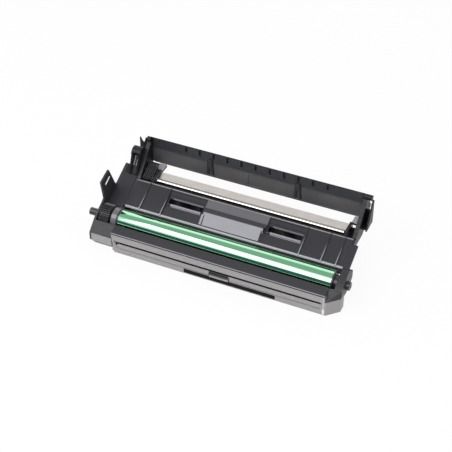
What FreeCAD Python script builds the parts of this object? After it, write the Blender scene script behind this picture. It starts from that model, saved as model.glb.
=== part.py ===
import FreeCAD, Part
import math
import operator
import os
import Sketcher

# A printer drum unit. X runs along the drum, Y from the front face to the rear wall, Z up.
# The origin is on the underside of the waste toner box, in the middle of its depth,
# below the middle of the drum's length.

Vector = FreeCAD.Vector
document = FreeCAD.newDocument("DrumUnit")
sheet = document.addObject("Spreadsheet::Sheet", "Sizes")
finished_parts = []

ARITHMETIC = {"+": operator.add, "-": operator.sub, "*": operator.mul, "/": operator.truediv}


class Measure:
    """A number of the model together with the sheet formula that gives it."""

    def __init__(self, value, formula):
        self.value = value
        self.formula = formula

    def __add__(self, other):
        return combine(self, "+", other)

    def __radd__(self, other):
        return combine(other, "+", self)

    def __sub__(self, other):
        return combine(self, "-", other)

    def __rsub__(self, other):
        return combine(other, "-", self)

    def __mul__(self, other):
        return combine(self, "*", other)

    def __rmul__(self, other):
        return combine(other, "*", self)

    def __truediv__(self, other):
        return combine(self, "/", other)

    def __rtruediv__(self, other):
        return combine(other, "/", self)

    def __neg__(self):
        return combine(0, "-", self)


def as_measure(number):
    """A plain number as a Measure; a Measure comes back as it is."""
    if isinstance(number, Measure):
        return number
    return Measure(number, repr(number))


def combine(left, sign, right):
    """Join two measures with one arithmetic sign, in value and in formula."""
    first, second = as_measure(left), as_measure(right)
    value = ARITHMETIC[sign](first.value, second.value)
    return Measure(value, f"({first.formula} {sign} {second.formula})")


def sine(angle):
    return Measure(math.sin(math.radians(angle.value)), f"sin({angle.formula})")


def cosine(angle):
    return Measure(math.cos(math.radians(angle.value)), f"cos({angle.formula})")


def tangent(angle):
    return Measure(math.tan(math.radians(angle.value)), f"tan({angle.formula})")


def square_root(number):
    return Measure(math.sqrt(number.value), f"sqrt({number.formula})")


def size(alias, value, note):
    """Write one driving size into the sheet and give it back as a Measure."""
    size.row += 1
    sheet.set(f"A{size.row}", note)
    sheet.set(f"B{size.row}", str(value))
    sheet.setAlias(f"B{size.row}", alias)
    return Measure(value, f"Sizes.{alias}")


size.row = 0


def bind(item, path, measure):
    """Tie a property of a document object to the sheet."""
    item.setExpression(path, as_measure(measure).formula)


# How a sketch lies: the directions of its own x and y, and the way it is extruded.
LAYOUTS = {
    "side": (Vector(0, 1, 0), Vector(0, 0, 1), Vector(1, 0, 0), "x"),
    "plan": (Vector(1, 0, 0), Vector(0, 1, 0), Vector(0, 0, 1), "z"),
    "front": (Vector(1, 0, 0), Vector(0, 0, 1), Vector(0, 1, 0), "y"),
}


def draw_polygon(sketch, points):
    """Closed polygon whose corners are placed from the sketch's origin by the sheet."""
    corners = [(as_measure(u), as_measure(v)) for u, v in points]
    count = len(corners)
    first = sketch.GeometryCount
    for index in range(count):
        start, end = corners[index], corners[(index + 1) % count]
        line = Part.LineSegment(Vector(start[0].value, start[1].value, 0),
                                Vector(end[0].value, end[1].value, 0))
        sketch.addGeometry(line, False)
    for index in range(count):
        following = first + (index + 1) % count
        sketch.addConstraint(Sketcher.Constraint("Coincident", first + index, 2, following, 1))
    for index, (u, v) in enumerate(corners):
        place_point(sketch, first + index, 1, u, v)


def place_point(sketch, geometry, point, u, v):
    """Hold one point of a sketch at (u, v) from the origin."""
    for kind, letter, measure in (("DistanceX", "u", u), ("DistanceY", "v", v)):
        held = Sketcher.Constraint(kind, -1, 1, geometry, point, measure.value)
        number = sketch.addConstraint(held)
        name = f"{letter}{geometry}"
        sketch.renameConstraint(number, name)
        bind(sketch, f"Constraints.{name}", measure)


def free_sketch(layout, start):
    """A sketch outside any body, lying in one of the layouts at the given distance."""
    across, up, _, axis = LAYOUTS[layout]
    sketch = document.addObject("Sketcher::SketchObject", "Outline")
    sketch.Placement = FreeCAD.Placement(
        Vector(0, 0, 0), FreeCAD.Rotation(across, up, across.cross(up), "XYZ"))
    bind(sketch, f"Placement.Base.{axis}", start)
    return sketch


def prism(layout, start, end, points):
    """A polygon in one of the layouts, carried from start to end along its axis."""
    sketch = free_sketch(layout, start)
    draw_polygon(sketch, points)
    solid = document.addObject("Part::Extrusion", "Prism")
    solid.Base = sketch
    solid.DirMode = "Custom"
    solid.Dir = LAYOUTS[layout][2]
    solid.Solid = True
    bind(solid, "LengthFwd", end - start)
    return solid


def block(x_from, x_to, y_from, y_to, z_from, z_to):
    """A box between two corners."""
    solid = document.addObject("Part::Box", "Block")
    bind(solid, "Length", x_to - x_from)
    bind(solid, "Width", y_to - y_from)
    bind(solid, "Height", z_to - z_from)
    move_to(solid, x_from, y_from, z_from)
    return solid


def move_to(item, x, y, z):
    """Tie an object's place to the sheet."""
    bind(item, "Placement.Base.x", x)
    bind(item, "Placement.Base.y", y)
    bind(item, "Placement.Base.z", z)


ROD_TURNS = {
    "x": FreeCAD.Rotation(Vector(0, 1, 0), 90),
    "y": FreeCAD.Rotation(Vector(1, 0, 0), -90),
    "z": FreeCAD.Rotation(),
}


def rod(axis, x, y, z, length, radius):
    """A cylinder that starts at a point and runs along one axis."""
    solid = document.addObject("Part::Cylinder", "Rod")
    solid.Placement = FreeCAD.Placement(Vector(0, 0, 0), ROD_TURNS[axis])
    bind(solid, "Radius", radius)
    bind(solid, "Height", length)
    move_to(solid, x, y, z)
    return solid


ROD_SIDES = 12
HELIX_SIDES = 8


def faceted_rod(axis, x, y, z, length, radius, sides=ROD_SIDES):
    """A rod with flat sides."""
    solid = document.addObject("Part::Prism", "Shank")
    solid.Polygon = sides
    solid.Placement = FreeCAD.Placement(Vector(0, 0, 0), ROD_TURNS[axis])
    bind(solid, "Circumradius", radius)
    bind(solid, "Height", length)
    move_to(solid, x, y, z)
    return solid


def flat_face(points):
    return Part.Face(Part.makePolygon(points + points[:1]))


def helical_bar(corners, pitch, turns):
    """Flat-sided solid: a section of (radius, height) corners carried along a helix about Z."""
    rings = []
    for step in range(int(turns * HELIX_SIDES) + 1):
        angle = math.radians(360 / HELIX_SIDES) * (step + 0.5)
        rise = pitch * step / HELIX_SIDES
        rings.append([Vector(radius * math.cos(angle), radius * math.sin(angle), height + rise)
                      for radius, height in corners])
    faces = [flat_face(rings[0]), flat_face(rings[-1])]
    for near, far in zip(rings, rings[1:]):
        for index in range(len(corners)):
            following = (index + 1) % len(corners)
            faces.append(flat_face([near[index], near[following], far[following]]))
            faces.append(flat_face([near[index], far[following], far[index]]))
    return Part.Solid(Part.Shell(faces))


def fuse(*solids):
    """Several solids of one moulding as one."""
    joined = document.addObject("Part::MultiFuse", "Joined")
    joined.Shapes = list(solids)
    joined.Refine = True
    return joined


def cut(base, *tools):
    """A solid with other solids taken away."""
    tool = tools[0] if len(tools) == 1 else fuse(*tools)
    remainder = document.addObject("Part::Cut", "Remainder")
    remainder.Base = base
    remainder.Tool = tool
    remainder.Refine = True
    return remainder


def overlap(*solids):
    """What several solids have in common."""
    shared = document.addObject("Part::MultiCommon", "Shared")
    shared.Shapes = list(solids)
    return shared


def group(*solids):
    """Separate solids that share one node."""
    together = document.addObject("Part::Compound", "Together")
    together.Links = list(solids)
    return together


def keep(name, item):
    """Name a finished sub-part; its label is its file's name."""
    item.Label = name
    finished_parts.append(item)
    return item


def new_body(x, y, z):
    """An empty body whose own origin lies at the given point."""
    body = document.addObject("PartDesign::Body", "Piece")
    move_to(body, x, y, z)
    return body


def origin_feature(body, role):
    return next(feature for feature in body.Origin.OriginFeatures if feature.Role == role)


def body_sketch(body, plane, offset, turn=None):
    """A sketch on one of a body's own planes, moved along its normal and turned in it."""
    sketch = body.newObject("Sketcher::SketchObject", "Profile")
    sketch.AttachmentSupport = [(origin_feature(body, plane), "")]
    sketch.MapMode = "FlatFace"
    bind(sketch, "AttachmentOffset.Base.z", offset)
    if turn is not None:
        bind(sketch, "AttachmentOffset.Rotation.Angle", turn)
    return sketch


def turned(y, z, *profiles):
    """A lathe-turned body along X: each profile holds (x, radius) corners round its axis."""
    body = new_body(0, y, z)
    for profile in profiles:
        sketch = body_sketch(body, "XY_Plane", 0)
        draw_polygon(sketch, profile)
        revolution = body.newObject("PartDesign::Revolution", "Revolution")
        revolution.Profile = sketch
        revolution.ReferenceAxis = (sketch, ["H_Axis"])
        revolution.Angle = 360
        body.Tip = revolution
    return body


def ring_profile(x_from, x_to, inner, outer):
    """Half-section of a plain ring or tube."""
    return [(x_from, inner), (x_to, inner), (x_to, outer), (x_from, outer)]


# Sizes that several pieces share

drum_diameter = size("drum_diameter", 24, "drum, outside")
drum_wall = size("drum_wall", 0.75, "drum, wall")
drum_length = size("drum_length", 246, "drum, length of the coated tube")
drum_axis_height = size("drum_axis_height", 25, "drum axis above the base")
drum_setback = size("drum_setback", 26, "drum axis behind the front face")
box_depth = size("box_depth", 21, "waste box, front face to rear wall")
skin = size("skin", 2, "wall of the mouldings")
running_fit = size("running_fit", 0.05, "radial clearance of a turning fit")
seat_fit = size("seat_fit", 0.05, "clearance round a seated piece")
roller_gap = size("roller_gap", 0.3, "gap between a piece and a turning surface")

drum_radius = drum_diameter / 2
drum_end = drum_length / 2
front = -(box_depth / 2)
box_rear = box_depth / 2
drum_y = front + drum_setback
drum_z = drum_axis_height

cover_margin = size("cover_margin", 0.3, "front cover, past each end of the drum")
gear_bay = size("gear_bay", 24.7, "gear bay, from the cover's left end to the outer face")
right_bay = size("right_bay", 13.7, "right bay, from the cover's end to the outer face")
cover_reach = drum_end + cover_margin
left_end = -(cover_reach + gear_bay)
right_end = cover_reach + right_bay

lip_gap = size("lip_gap", 4.6, "gap from the drum back to the tray lip")
lip_rise = size("lip_rise", 6.1, "tray lip above the drum axis")
tray_depth = size("tray_depth", 31.1, "tray, lip to rear rim")
tray_angle = size("tray_angle", 25.3, "slope of the tray in degrees")
tray_wall = size("tray_wall", 2.4, "tray floor, upright thickness")
tray_left_margin = size("tray_left_margin", 4.7, "tray, past the cover's left end")
tray_right_margin = size("tray_right_margin", 2.7, "tray, past the cover's right end")

tray_pitch = tangent(tray_angle)
lip_y = drum_y + drum_radius + lip_gap
lip_z = drum_z + lip_rise
rim_y = lip_y + tray_depth
rim_z = lip_z + tray_depth * tray_pitch
tray_left = -(cover_reach + tray_left_margin)
tray_right = cover_reach + tray_right_margin


def tray_top(y):
    """Height of the tray's upper face at a given y."""
    return lip_z + (y - lip_y) * tray_pitch


def tray_point(y, drop):
    """Corner of a side outline that lies a given drop below the tray's face."""
    return (y, tray_top(y) - drop)


roller_setback = size("roller_setback", 8.3, "idle roller axis behind the tray rim")
roller_drop = size("roller_drop", 0.6, "idle roller axis below the tray rim")
roller_diameter = size("roller_diameter", 5.2, "idle roller, outside")
roller_left_room = size("roller_left_room", 21, "idle roller, from the tray's left end")
roller_right_room = size("roller_right_room", 13, "idle roller, from the tray's right end")
roller_y = rim_y + roller_setback
roller_z = rim_z - roller_drop
roller_radius = roller_diameter / 2
roller_left = tray_left + roller_left_room
roller_right = tray_right - roller_right_room

wall_setback = size("wall_setback", 26.8, "rear wall face behind the idle roller axis")
wall_foot_rise = size("wall_foot_rise", 3.6, "rear wall's lower edge above the tray rim")
wall_height = size("wall_height", 32.4, "rear wall, height")
wall_y = roller_y + wall_setback
wall_foot = rim_z + wall_foot_rise
wall_top = wall_foot + wall_height

stay_gap = size("stay_gap", 0.9, "gap from the idle roller back to the steel stay")
stay_depth = size("stay_depth", 9, "steel stay, front to back")
stay_y = roller_y + roller_radius + stay_gap
beam_y = stay_y + stay_depth + seat_fit
trough_drop = size("trough_drop", 4.6, "trough floor below the idle roller")
trough_z = roller_z - roller_radius - trough_drop

module = size("module", 0.8, "gear module")
drum_teeth = size("drum_teeth", 32, "teeth on the drum gear")
auger_teeth = size("auger_teeth", 15, "teeth on the auger gear")
gear_width = size("gear_width", 12, "drum gear, face width")
mesh_play = size("mesh_play", 0.12, "extra centre distance of the gear pair")
auger_height = size("auger_height", 10, "auger axis above the base")
gear_distance = module * (drum_teeth + auger_teeth) / 2 + mesh_play
auger_drop = drum_z - auger_height
auger_z = auger_height + 0
auger_back = square_root(gear_distance * gear_distance - auger_drop * auger_drop)
auger_y = drum_y - auger_back

# The front of the unit: a shallow recess with a slot along its top, and the latch tab in it

window_low = size("window_low", 7.4, "front recess, lower edge")
window_high = size("window_high", 15.8, "front recess and slot, upper edge")
window_margin = size("window_margin", 3, "front recess, from each end of the cover")
window_depth = size("window_depth", 0.3, "front recess, depth")
groove_low = size("groove_low", 13.2, "slot along the top of the recess, lower edge")
groove_undercut = size("groove_undercut", 1.5, "slot, drop of its lower edge through the cover")
groove_pocket = size("groove_pocket", 2.5, "pocket behind the slot, below its lower edge")
groove_depth = size("groove_depth", 1, "pockets in the waste box's front wall, depth")
groove_end = size("groove_end", 6, "slot, length of its three-cornered left end")
groove_foot = size("groove_foot", 2.4, "slot, left end's lower corner above the recess's edge")
latch_left = size("latch_left", -6, "latch tab, left edge")
latch_width = size("latch_width", 22, "latch tab, width")
latch_height = size("latch_height", 3.5, "latch tab, top above the recess's lower edge")
latch_slot = size("latch_slot", 0.9, "slot round the latch tab")
latch_proud = size("latch_proud", 0.8, "latch tab in front of the cover")
latch_root = size("latch_root", 1, "latch tab, overlap on the lower rail")

latch_foot = window_low - latch_root

# The waste toner box: the grey lower moulding, open at its top and towards the drum

box_end_height = size("box_end_height", 17.5, "waste box, height of its two ends")
cover_plate = size("cover_plate", 1.8, "front cover, thickness")
hood_front_height = size("hood_front_height", 25.2, "front edge of the hood above the base")
hood_wall = size("hood_wall", 1.8, "hood, thickness")
corner_cut = size("corner_cut", 12, "cut-off corner at the right end")
box_wall = size("box_wall", 1.8, "waste box, front wall")
rear_lip_height = size("rear_lip_height", 11.5, "waste box, height of its rear wall")
left_foot_rise = size("left_foot_rise", 8, "raised lower edge at the left end")
left_foot_run = size("left_foot_run", 6, "depth of the raised lower edge")
bearing_ledge = size("bearing_ledge", 4, "ledge under each charge roller bearing, width")

hood_seat = hood_front_height - hood_wall
box_inner_front = front + cover_plate + box_wall
box_inner_end = cover_reach - skin
gear_room_left = left_end + skin
gear_room_right = -(cover_reach + skin)

charge_diameter = size("charge_diameter", 8, "charge roller, outside")
charge_angle = size("charge_angle", 15, "charge roller below the drum axis, in degrees")
sleeve_gap = size("sleeve_gap", 2.4, "charge roller, rubber to each bearing")
charge_core = size("charge_core", 5, "charge roller, steel core")
charge_radius = charge_diameter / 2
charge_reach = drum_radius + charge_radius + roller_gap
charge_y = drum_y - charge_reach * cosine(charge_angle)
charge_z = drum_z - charge_reach * sine(charge_angle)
carrier_width = size("carrier_width", 3.6, "charge roller bearing, along the roller")
carrier_size = size("carrier_size", 6.4, "charge roller bearing, height and depth")
carrier_play = size("carrier_play", 0.3, "charge roller bearing to the end wall")
carrier_inner = box_inner_end - carrier_play - carrier_width
sleeve_reach = carrier_inner - sleeve_gap

bracket_height = size("bracket_height", 14.6, "underside of the blade bracket above the base")
bracket_gauge = size("bracket_gauge", 1.2, "blade bracket, sheet thickness")
bracket_play = size("bracket_play", 2.3, "blade bracket, short of each end of the box")
bracket_depth = size("bracket_depth", 8.4, "blade bracket, front to back")
bracket_drop = size("bracket_drop", 5.8, "blade bracket, height of its front flange")
bracket_gap = size("bracket_gap", 0.8, "blade bracket flange off the front wall")
blade_screw_inset = size("blade_screw_inset", 4, "blade screws, from the bracket's ends")
screw_radius = size("screw_radius", 1.3, "screws, shank radius")
screw_head = size("screw_head", 2.3, "screws, head radius")
head_height = size("head_height", 1.4, "screws, head height")
boss_radius = size("boss_radius", 2.6, "screw bosses, radius")
pilot_skin = size("pilot_skin", 0.6, "waste box, wall left in front of a blade screw")

bracket_reach = box_inner_end - bracket_play
blade_screw_x = bracket_reach - blade_screw_inset
bracket_y = box_inner_front + bracket_gap
bracket_top = bracket_height + bracket_gauge
blade_screw_z = bracket_top - bracket_drop / 2 - bracket_gauge / 2


def make_waste_box():
    """Grey tray with a floor, front wall and ends, hollowed from above."""
    rear, face = box_rear, front + cover_plate
    left, right = left_end, right_end
    lower = prism("plan", as_measure(0), box_end_height, [
        (left, front), (-cover_reach, front), (-cover_reach, front + cover_plate),
        (cover_reach, front + cover_plate), (cover_reach, front),
        (right - corner_cut, front), (right, front + corner_cut), (right, rear), (left, rear)])
    upper = block(-cover_reach, cover_reach, front + cover_plate, box_inner_front + skin,
                  box_end_height - skin, hood_seat)
    room = block(-box_inner_end, box_inner_end, box_inner_front, rear - skin,
                 skin, hood_front_height)
    left_room = block(gear_room_left, gear_room_right, front + skin, rear + skin,
                      skin, hood_front_height)
    right_room = block(cover_reach + skin, right - skin, front + corner_cut, rear - skin,
                       skin, hood_front_height)
    window = block(-(cover_reach + skin * 2), cover_reach + skin * 2, box_inner_front + bracket_depth,
                   rear + skin, rear_lip_height, hood_front_height)
    foot = prism("side", left - skin, -cover_reach, [
        (front - skin, as_measure(0) - skin), (front + left_foot_run, as_measure(0) - skin),
        (front + left_foot_run, as_measure(0)), (front, left_foot_rise),
        (front - skin, left_foot_rise)])
    gear_room = rod("x", left - skin, drum_y, drum_z, gear_bay + skin,
                    module * (drum_teeth / 2 + 2))
    auger_hole = rod("x", left + skin, auger_y, auger_z, gear_bay + skin * 2,
                     auger_journal + running_fit)
    far_bearing = rod("x", box_inner_end - skin, auger_y, auger_z, skin * 2,
                      auger_journal + running_fit)
    shell = cut(fuse(lower, upper), room, left_room, right_room, window, foot, gear_room)
    ledges = []
    bosses = []
    pilots = []
    for side in (-1, 1):
        inner = side * (box_inner_end - bearing_ledge)
        outer = side * (box_inner_end + skin / 2)
        low, high = (inner, outer) if side > 0 else (outer, inner)
        ledges.append(block(low, high, box_inner_front - skin / 2, charge_y + carrier_size / 2,
                            bracket_top + roller_gap, charge_z - carrier_size / 2))
        bosses.append(faceted_rod("y", side * blade_screw_x, box_inner_front - skin / 2,
                                  blade_screw_z, bracket_gap + skin / 2, boss_radius))
        pilots.append(faceted_rod("y", side * blade_screw_x, face + pilot_skin, blade_screw_z,
                                  skin * 2, screw_radius + seat_fit))
    groove_reach = blade_screw_x - boss_radius - skin / 2
    groove = block(-groove_reach, groove_reach, face - skin, face + groove_depth,
                   groove_low - groove_pocket, window_high)
    latch_right = latch_left + latch_width
    pocket = block(latch_left - latch_slot, latch_right + latch_slot, face - skin,
                   face + groove_depth, latch_foot, window_low + latch_height + latch_slot)
    return keep("waste_toner_box", cut(fuse(shell, *ledges, *bosses), auger_hole, far_bearing,
                                       groove, pocket, *pilots))


# The front cover: a grey plate on the box, with a long recess, a latch tab and a label

cover_draft = size("cover_draft", 3, "lean of the cover's left end")
label_left = size("label_left", -36, "label, left edge")
label_width = size("label_width", 105, "label, width")
label_low = size("label_low", 1.3, "label, lower edge")
label_gauge = size("label_gauge", 0.15, "label, thickness")


def make_front_cover():
    """Plate with a recess, a slot undercut to the rear, and a latch tab in a three-sided cut."""
    left, right = -cover_reach + window_margin, cover_reach - window_margin
    rear = front + cover_plate
    plate = prism("front", front, rear, [
        (-cover_reach + cover_draft, as_measure(0)), (cover_reach, as_measure(0)),
        (cover_reach, hood_seat), (-cover_reach, hood_seat)])
    recess = prism("front", front - skin, front + window_depth, [
        (left + cover_draft, window_low), (right, window_low), (right, window_high),
        (left, window_high)])
    slot = prism("side", left + groove_end - latch_slot, right, [
        (front - skin, groove_low), (front + window_depth, groove_low),
        (rear, groove_low - groove_undercut), (rear + skin, groove_low - groove_undercut),
        (rear + skin, window_high), (front - skin, window_high)])
    slot_end = prism("front", front - skin, rear + skin, [
        (left, window_high), (left + groove_end / 2, window_low + groove_foot),
        (left + groove_end, groove_low), (left + groove_end, window_high)])
    latch_right = latch_left + latch_width
    top = window_low + latch_height
    tab = block(latch_left, latch_right, front - latch_proud, rear, latch_foot, top)
    cuts = [block(x_from, x_to, front - skin, rear + skin, low, top + latch_slot)
            for x_from, x_to, low in ((latch_left - latch_slot, latch_left, latch_foot),
                                      (latch_right, latch_right + latch_slot, latch_foot),
                                      (latch_left - latch_slot, latch_right + latch_slot, top))]
    return keep("waste_box_front_cover", fuse(cut(plate, recess, slot, slot_end, *cuts), tab))


def make_label():
    """Bare black label on the cover's lower rail."""
    return keep("front_label", block(
        label_left, label_left + label_width, front - label_gauge, front + 0,
        label_low + 0, latch_foot - seat_fit))


# The hood: the black sloping plate over the charge roller, in front of the drum

hood_depth = size("hood_depth", 11.9, "hood, front to back")
hood_rise = size("hood_rise", 2.7, "hood, rise to the rear")
hood_lip = size("hood_lip", 1.2, "hood, turned-down front lip")
hood_y = front + hood_depth
hood_back_z = hood_front_height + hood_rise


def make_hood():
    """Sloping plate with a thin bead along its front edge."""
    plate = prism("side", -cover_reach, cover_reach, [
        (front, hood_seat), (front, hood_front_height), (hood_y, hood_back_z),
        (hood_y, hood_back_z - hood_wall), (box_inner_front, hood_seat + hood_lip / 2),
        (box_inner_front, hood_seat)])
    return keep("front_hood", plate)


# The drum: an aluminium tube with its green coating, between two moulded flanges

spigot = size("spigot", 8, "flange spigots, depth in the tube")
disc = size("disc", 1.5, "flange discs, thickness")
neck_radius = size("neck_radius", 8, "gear flange, neck radius")
gear_gap = size("gear_gap", 2, "drum gear to the left outer cheek")
shoulder_radius = size("shoulder_radius", 5.2, "gear flange, shoulder in the left cheek")
shoulder_proud = size("shoulder_proud", 0.2, "shoulder past the cheek's outer face")
journal_radius = size("journal_radius", 4.25, "left journal, radius")
journal_length = size("journal_length", 11.6, "left journal, length outside the shoulder")
cheek = size("cheek", 2.2, "left outer cheek, thickness")
pivot_radius = size("pivot_radius", 3, "right pivot pin, radius")
pivot_head = size("pivot_head", 4.75, "right pivot pin, head radius")
pivot_head_length = size("pivot_head_length", 4.5, "right pivot pin, head length")
pivot_depth = size("pivot_depth", 16, "right pivot pin, depth in the flange")
flange_neck = size("flange_neck", 4, "plain flange, neck length")
bearing_radius = size("bearing_radius", 12.3, "left drum bearing, outside radius")
bearing_length = size("bearing_length", 6.6, "left drum bearing, length")
bearing_gap = size("bearing_gap", 0.5, "end play at the drum bearings")
root_depth = size("root_depth", 1.25, "gear root below the pitch circle, in modules")
gap_overrun = size("gap_overrun", 1.15, "tooth gap beyond the pitch circle, in modules")
root_share = size("root_share", 0.62, "tooth gap at the root, in quarter pitches either side")
tip_share = size("tip_share", 1.7, "tooth gap at the tip, in quarter pitches either side")

tube_bore = drum_radius - drum_wall
drum_gear_left = left_end + gear_gap
drum_gear_right = drum_gear_left + gear_width
shoulder_left = left_end - cheek - shoulder_proud
journal_tip = shoulder_left - journal_length


def tooth_gap(sketch, teeth, pitch_radius):
    """Gap between two teeth, drawn along the sketch's x axis with straight flanks."""
    root = pitch_radius - module * root_depth
    tip = pitch_radius + module * gap_overrun
    quarter = as_measure(90) / teeth
    spread = [(root, root_share), (tip, tip_share)]
    upper = []
    lower = []
    for radius, share in spread:
        across = radius * cosine(quarter * share)
        up = radius * sine(quarter * share)
        upper.append((across, up))
        lower.append((across, -up))
    draw_polygon(sketch, lower + upper[::-1])


def toothed(body, teeth, phase, x_from, width):
    """Cut the teeth of a spur gear into a turned body, the first gap at the given angle."""
    pitch_radius = module * teeth / 2
    sketch = body_sketch(body, "YZ_Plane", x_from, phase)
    tooth_gap(sketch, teeth, pitch_radius)
    gap = body.newObject("PartDesign::Pocket", "ToothGap")
    gap.Profile = sketch
    gap.Reversed = True
    bind(gap, "Length", width)
    pattern = body.newObject("PartDesign::PolarPattern", "Teeth")
    pattern.Originals = [gap]
    pattern.Axis = (origin_feature(body, "X_Axis"), [""])
    pattern.Angle = 360
    bind(pattern, "Occurrences", teeth)
    body.Tip = pattern
    return body


def mesh_angle():
    """Direction of the auger axis seen from the drum axis, in degrees from +Y."""
    value = math.degrees(math.atan2(auger_drop.value, auger_back.value)) + 180
    return Measure(value, f"(atan2({auger_drop.formula}; {auger_back.formula}) / 1 deg + 180)")


def make_drum():
    """Tube, gear flange with its journal, plain flange and the fixed pivot pin."""
    keep("drum_tube", turned(drum_y, drum_z, ring_profile(-drum_end, drum_end,
                                                           tube_bore, drum_radius + 0)))
    spigot_radius = tube_bore - seat_fit
    outside = module * (drum_teeth / 2 + 1)
    centre = as_measure(0)
    gear = turned(drum_y, drum_z, [
        (journal_tip, centre), (-drum_end + spigot, centre), (-drum_end + spigot, spigot_radius),
        (-drum_end, spigot_radius), (-drum_end, drum_radius), (-drum_end - disc, drum_radius),
        (-drum_end - disc, neck_radius), (drum_gear_right, neck_radius),
        (drum_gear_right, outside), (drum_gear_left, outside),
        (drum_gear_left, shoulder_radius), (shoulder_left, shoulder_radius),
        (shoulder_left, journal_radius), (journal_tip, journal_radius)])
    toothed(gear, drum_teeth, mesh_angle(), drum_gear_left, gear_width)
    keep("drum_gear_flange", gear)
    bore = pivot_radius + running_fit
    keep("drum_plain_flange", turned(drum_y, drum_z, [
        (drum_end - spigot, bore), (drum_end - spigot, spigot_radius),
        (drum_end, spigot_radius), (drum_end, drum_radius), (drum_end + disc, drum_radius),
        (drum_end + disc, neck_radius), (drum_end + disc + flange_neck, neck_radius),
        (drum_end + disc + flange_neck, bore)]))
    head = right_end + pivot_head_length
    keep("drum_pivot_pin", turned(drum_y, drum_z, [
        (right_end - pivot_depth, centre), (head, centre), (head, pivot_head),
        (right_end, pivot_head), (right_end, pivot_radius), (right_end - pivot_depth, pivot_radius)]))
    bearing_right = -(drum_end + disc + bearing_gap)
    keep("left_drum_bearing", turned(drum_y, drum_z, ring_profile(
        bearing_right - bearing_length, bearing_right, neck_radius + running_fit, bearing_radius)))


# The charge roller: a steel core with a rubber sleeve, in two small bearings

def make_charge_roller():
    core = charge_core / 2
    core_end = carrier_inner + carrier_width
    keep("charge_roller_core", turned(charge_y, charge_z, [
        (-core_end, as_measure(0)), (core_end, as_measure(0)), (core_end, core), (-core_end, core)]))
    keep("charge_roller_sleeve", turned(charge_y, charge_z, ring_profile(
        -sleeve_reach, sleeve_reach, core + seat_fit, charge_radius + 0)))
    for name, side in (("left_charge_bearing", -1), ("right_charge_bearing", 1)):
        inner, outer = side * carrier_inner, side * (carrier_inner + carrier_width)
        low, high = (inner, outer) if side > 0 else (outer, inner)
        half = carrier_size / 2
        carrier = block(low, high, charge_y - half, charge_y + half - roller_gap,
                        charge_z - half, charge_z + half)
        bore = rod("x", low - skin, charge_y, charge_z, carrier_width + skin * 2, core + running_fit)
        keep(name, cut(carrier, bore))


# The cleaning blade on its steel bracket, and the film that closes the box to the drum

blade_gauge = size("blade_gauge", 1.1, "cleaning blade, thickness")
blade_bond = size("blade_bond", 4, "cleaning blade, bonded under the bracket")
blade_gap = size("blade_gap", 0.35, "cleaning blade off the drum")
film_gauge = size("film_gauge", 0.4, "recovery film, thickness")
film_play = size("film_play", 1.3, "recovery film, short of each end of the box")


def drum_front_at(z, gap):
    """y of the drum's front surface at a given height, less a gap."""
    drop = drum_z - z
    reach = drum_radius + gap
    return drum_y - square_root(reach * reach - drop * drop)


def make_blade():
    """L-shaped bracket, urethane blade bonded under it, two screws and the film."""
    rear = bracket_y + bracket_depth
    bracket = prism("side", -bracket_reach, bracket_reach, [
        (bracket_y, bracket_top), (rear, bracket_top), (rear, bracket_height),
        (bracket_y + bracket_gauge, bracket_height),
        (bracket_y + bracket_gauge, bracket_top - bracket_drop),
        (bracket_y, bracket_top - bracket_drop)])
    holes = [faceted_rod("y", side * blade_screw_x, bracket_y - skin, blade_screw_z, skin * 4,
                         screw_radius + seat_fit) for side in (-1, 1)]
    keep("blade_bracket", cut(bracket, *holes))
    tip_z = bracket_height - blade_gauge / 2
    tip_y = drum_front_at(tip_z, blade_gap)
    low_tip_y = drum_front_at(tip_z - blade_gauge, blade_gap)
    keep("cleaning_blade", prism("side", -bracket_reach, bracket_reach, [
        (rear - blade_bond, bracket_height), (rear, bracket_height),
        (tip_y, tip_z), (low_tip_y - blade_gauge, tip_z - blade_gauge / 2),
        (rear, bracket_height - blade_gauge), (rear - blade_bond, bracket_height - blade_gauge)]))
    keep("blade_screws", group(*[
        screw("y", side * blade_screw_x, bracket_y + bracket_gauge, blade_screw_z, -1,
              bracket_gauge + bracket_gap + box_wall - pilot_skin - seat_fit)
        for side in (-1, 1)]))
    film_top = rear_lip_height + film_gauge
    film_tip = drum_front_at(film_top + film_gauge * 2, roller_gap)
    film_foot = box_rear - skin
    film_reach = box_inner_end - film_play
    keep("recovery_film", prism("side", -film_reach, film_reach, [
        (film_foot, rear_lip_height), (box_rear, rear_lip_height),
        (film_tip, rear_lip_height + film_gauge), (film_tip - film_gauge, film_top + film_gauge),
        (box_rear - film_gauge, film_top), (film_foot, film_top)]))


def screw(axis, x, y, z, side, length):
    """Pan-head screw: the head's seat is at the point, the shank runs towards side."""
    shift = {"x": (1, 0, 0), "y": (0, 1, 0), "z": (0, 0, 1)}[axis]
    place = (x, y, z)
    shank_start = [c + (length * side if side < 0 else 0) * s for c, s in zip(place, shift)]
    head_start = [c + (0 if side < 0 else -head_height) * s for c, s in zip(place, shift)]
    shank = faceted_rod(axis, *shank_start, length, screw_radius)
    head = faceted_rod(axis, *head_start, head_height, screw_head)
    return fuse(shank, head)


# The waste auger: a moulded screw that carries spent toner to the left, with its gear

auger_core = size("auger_core", 1.8, "auger, core radius")
auger_flight = size("auger_flight", 3, "auger, flight radius")
flight_margin = size("flight_margin", 10.8, "auger, plain core at each end of the flight")
auger_journal = size("auger_journal", 2, "auger, journal radius")
auger_turns = size("auger_turns", 10, "auger, turns of the flight")
auger_gear_width = size("auger_gear_width", 8, "auger gear, face width")
auger_gear_inset = size("auger_gear_inset", 2, "auger gear inside the drum gear's outer face")
paddle_gauge = size("paddle_gauge", 1.2, "auger, thickness of the flight")


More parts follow.
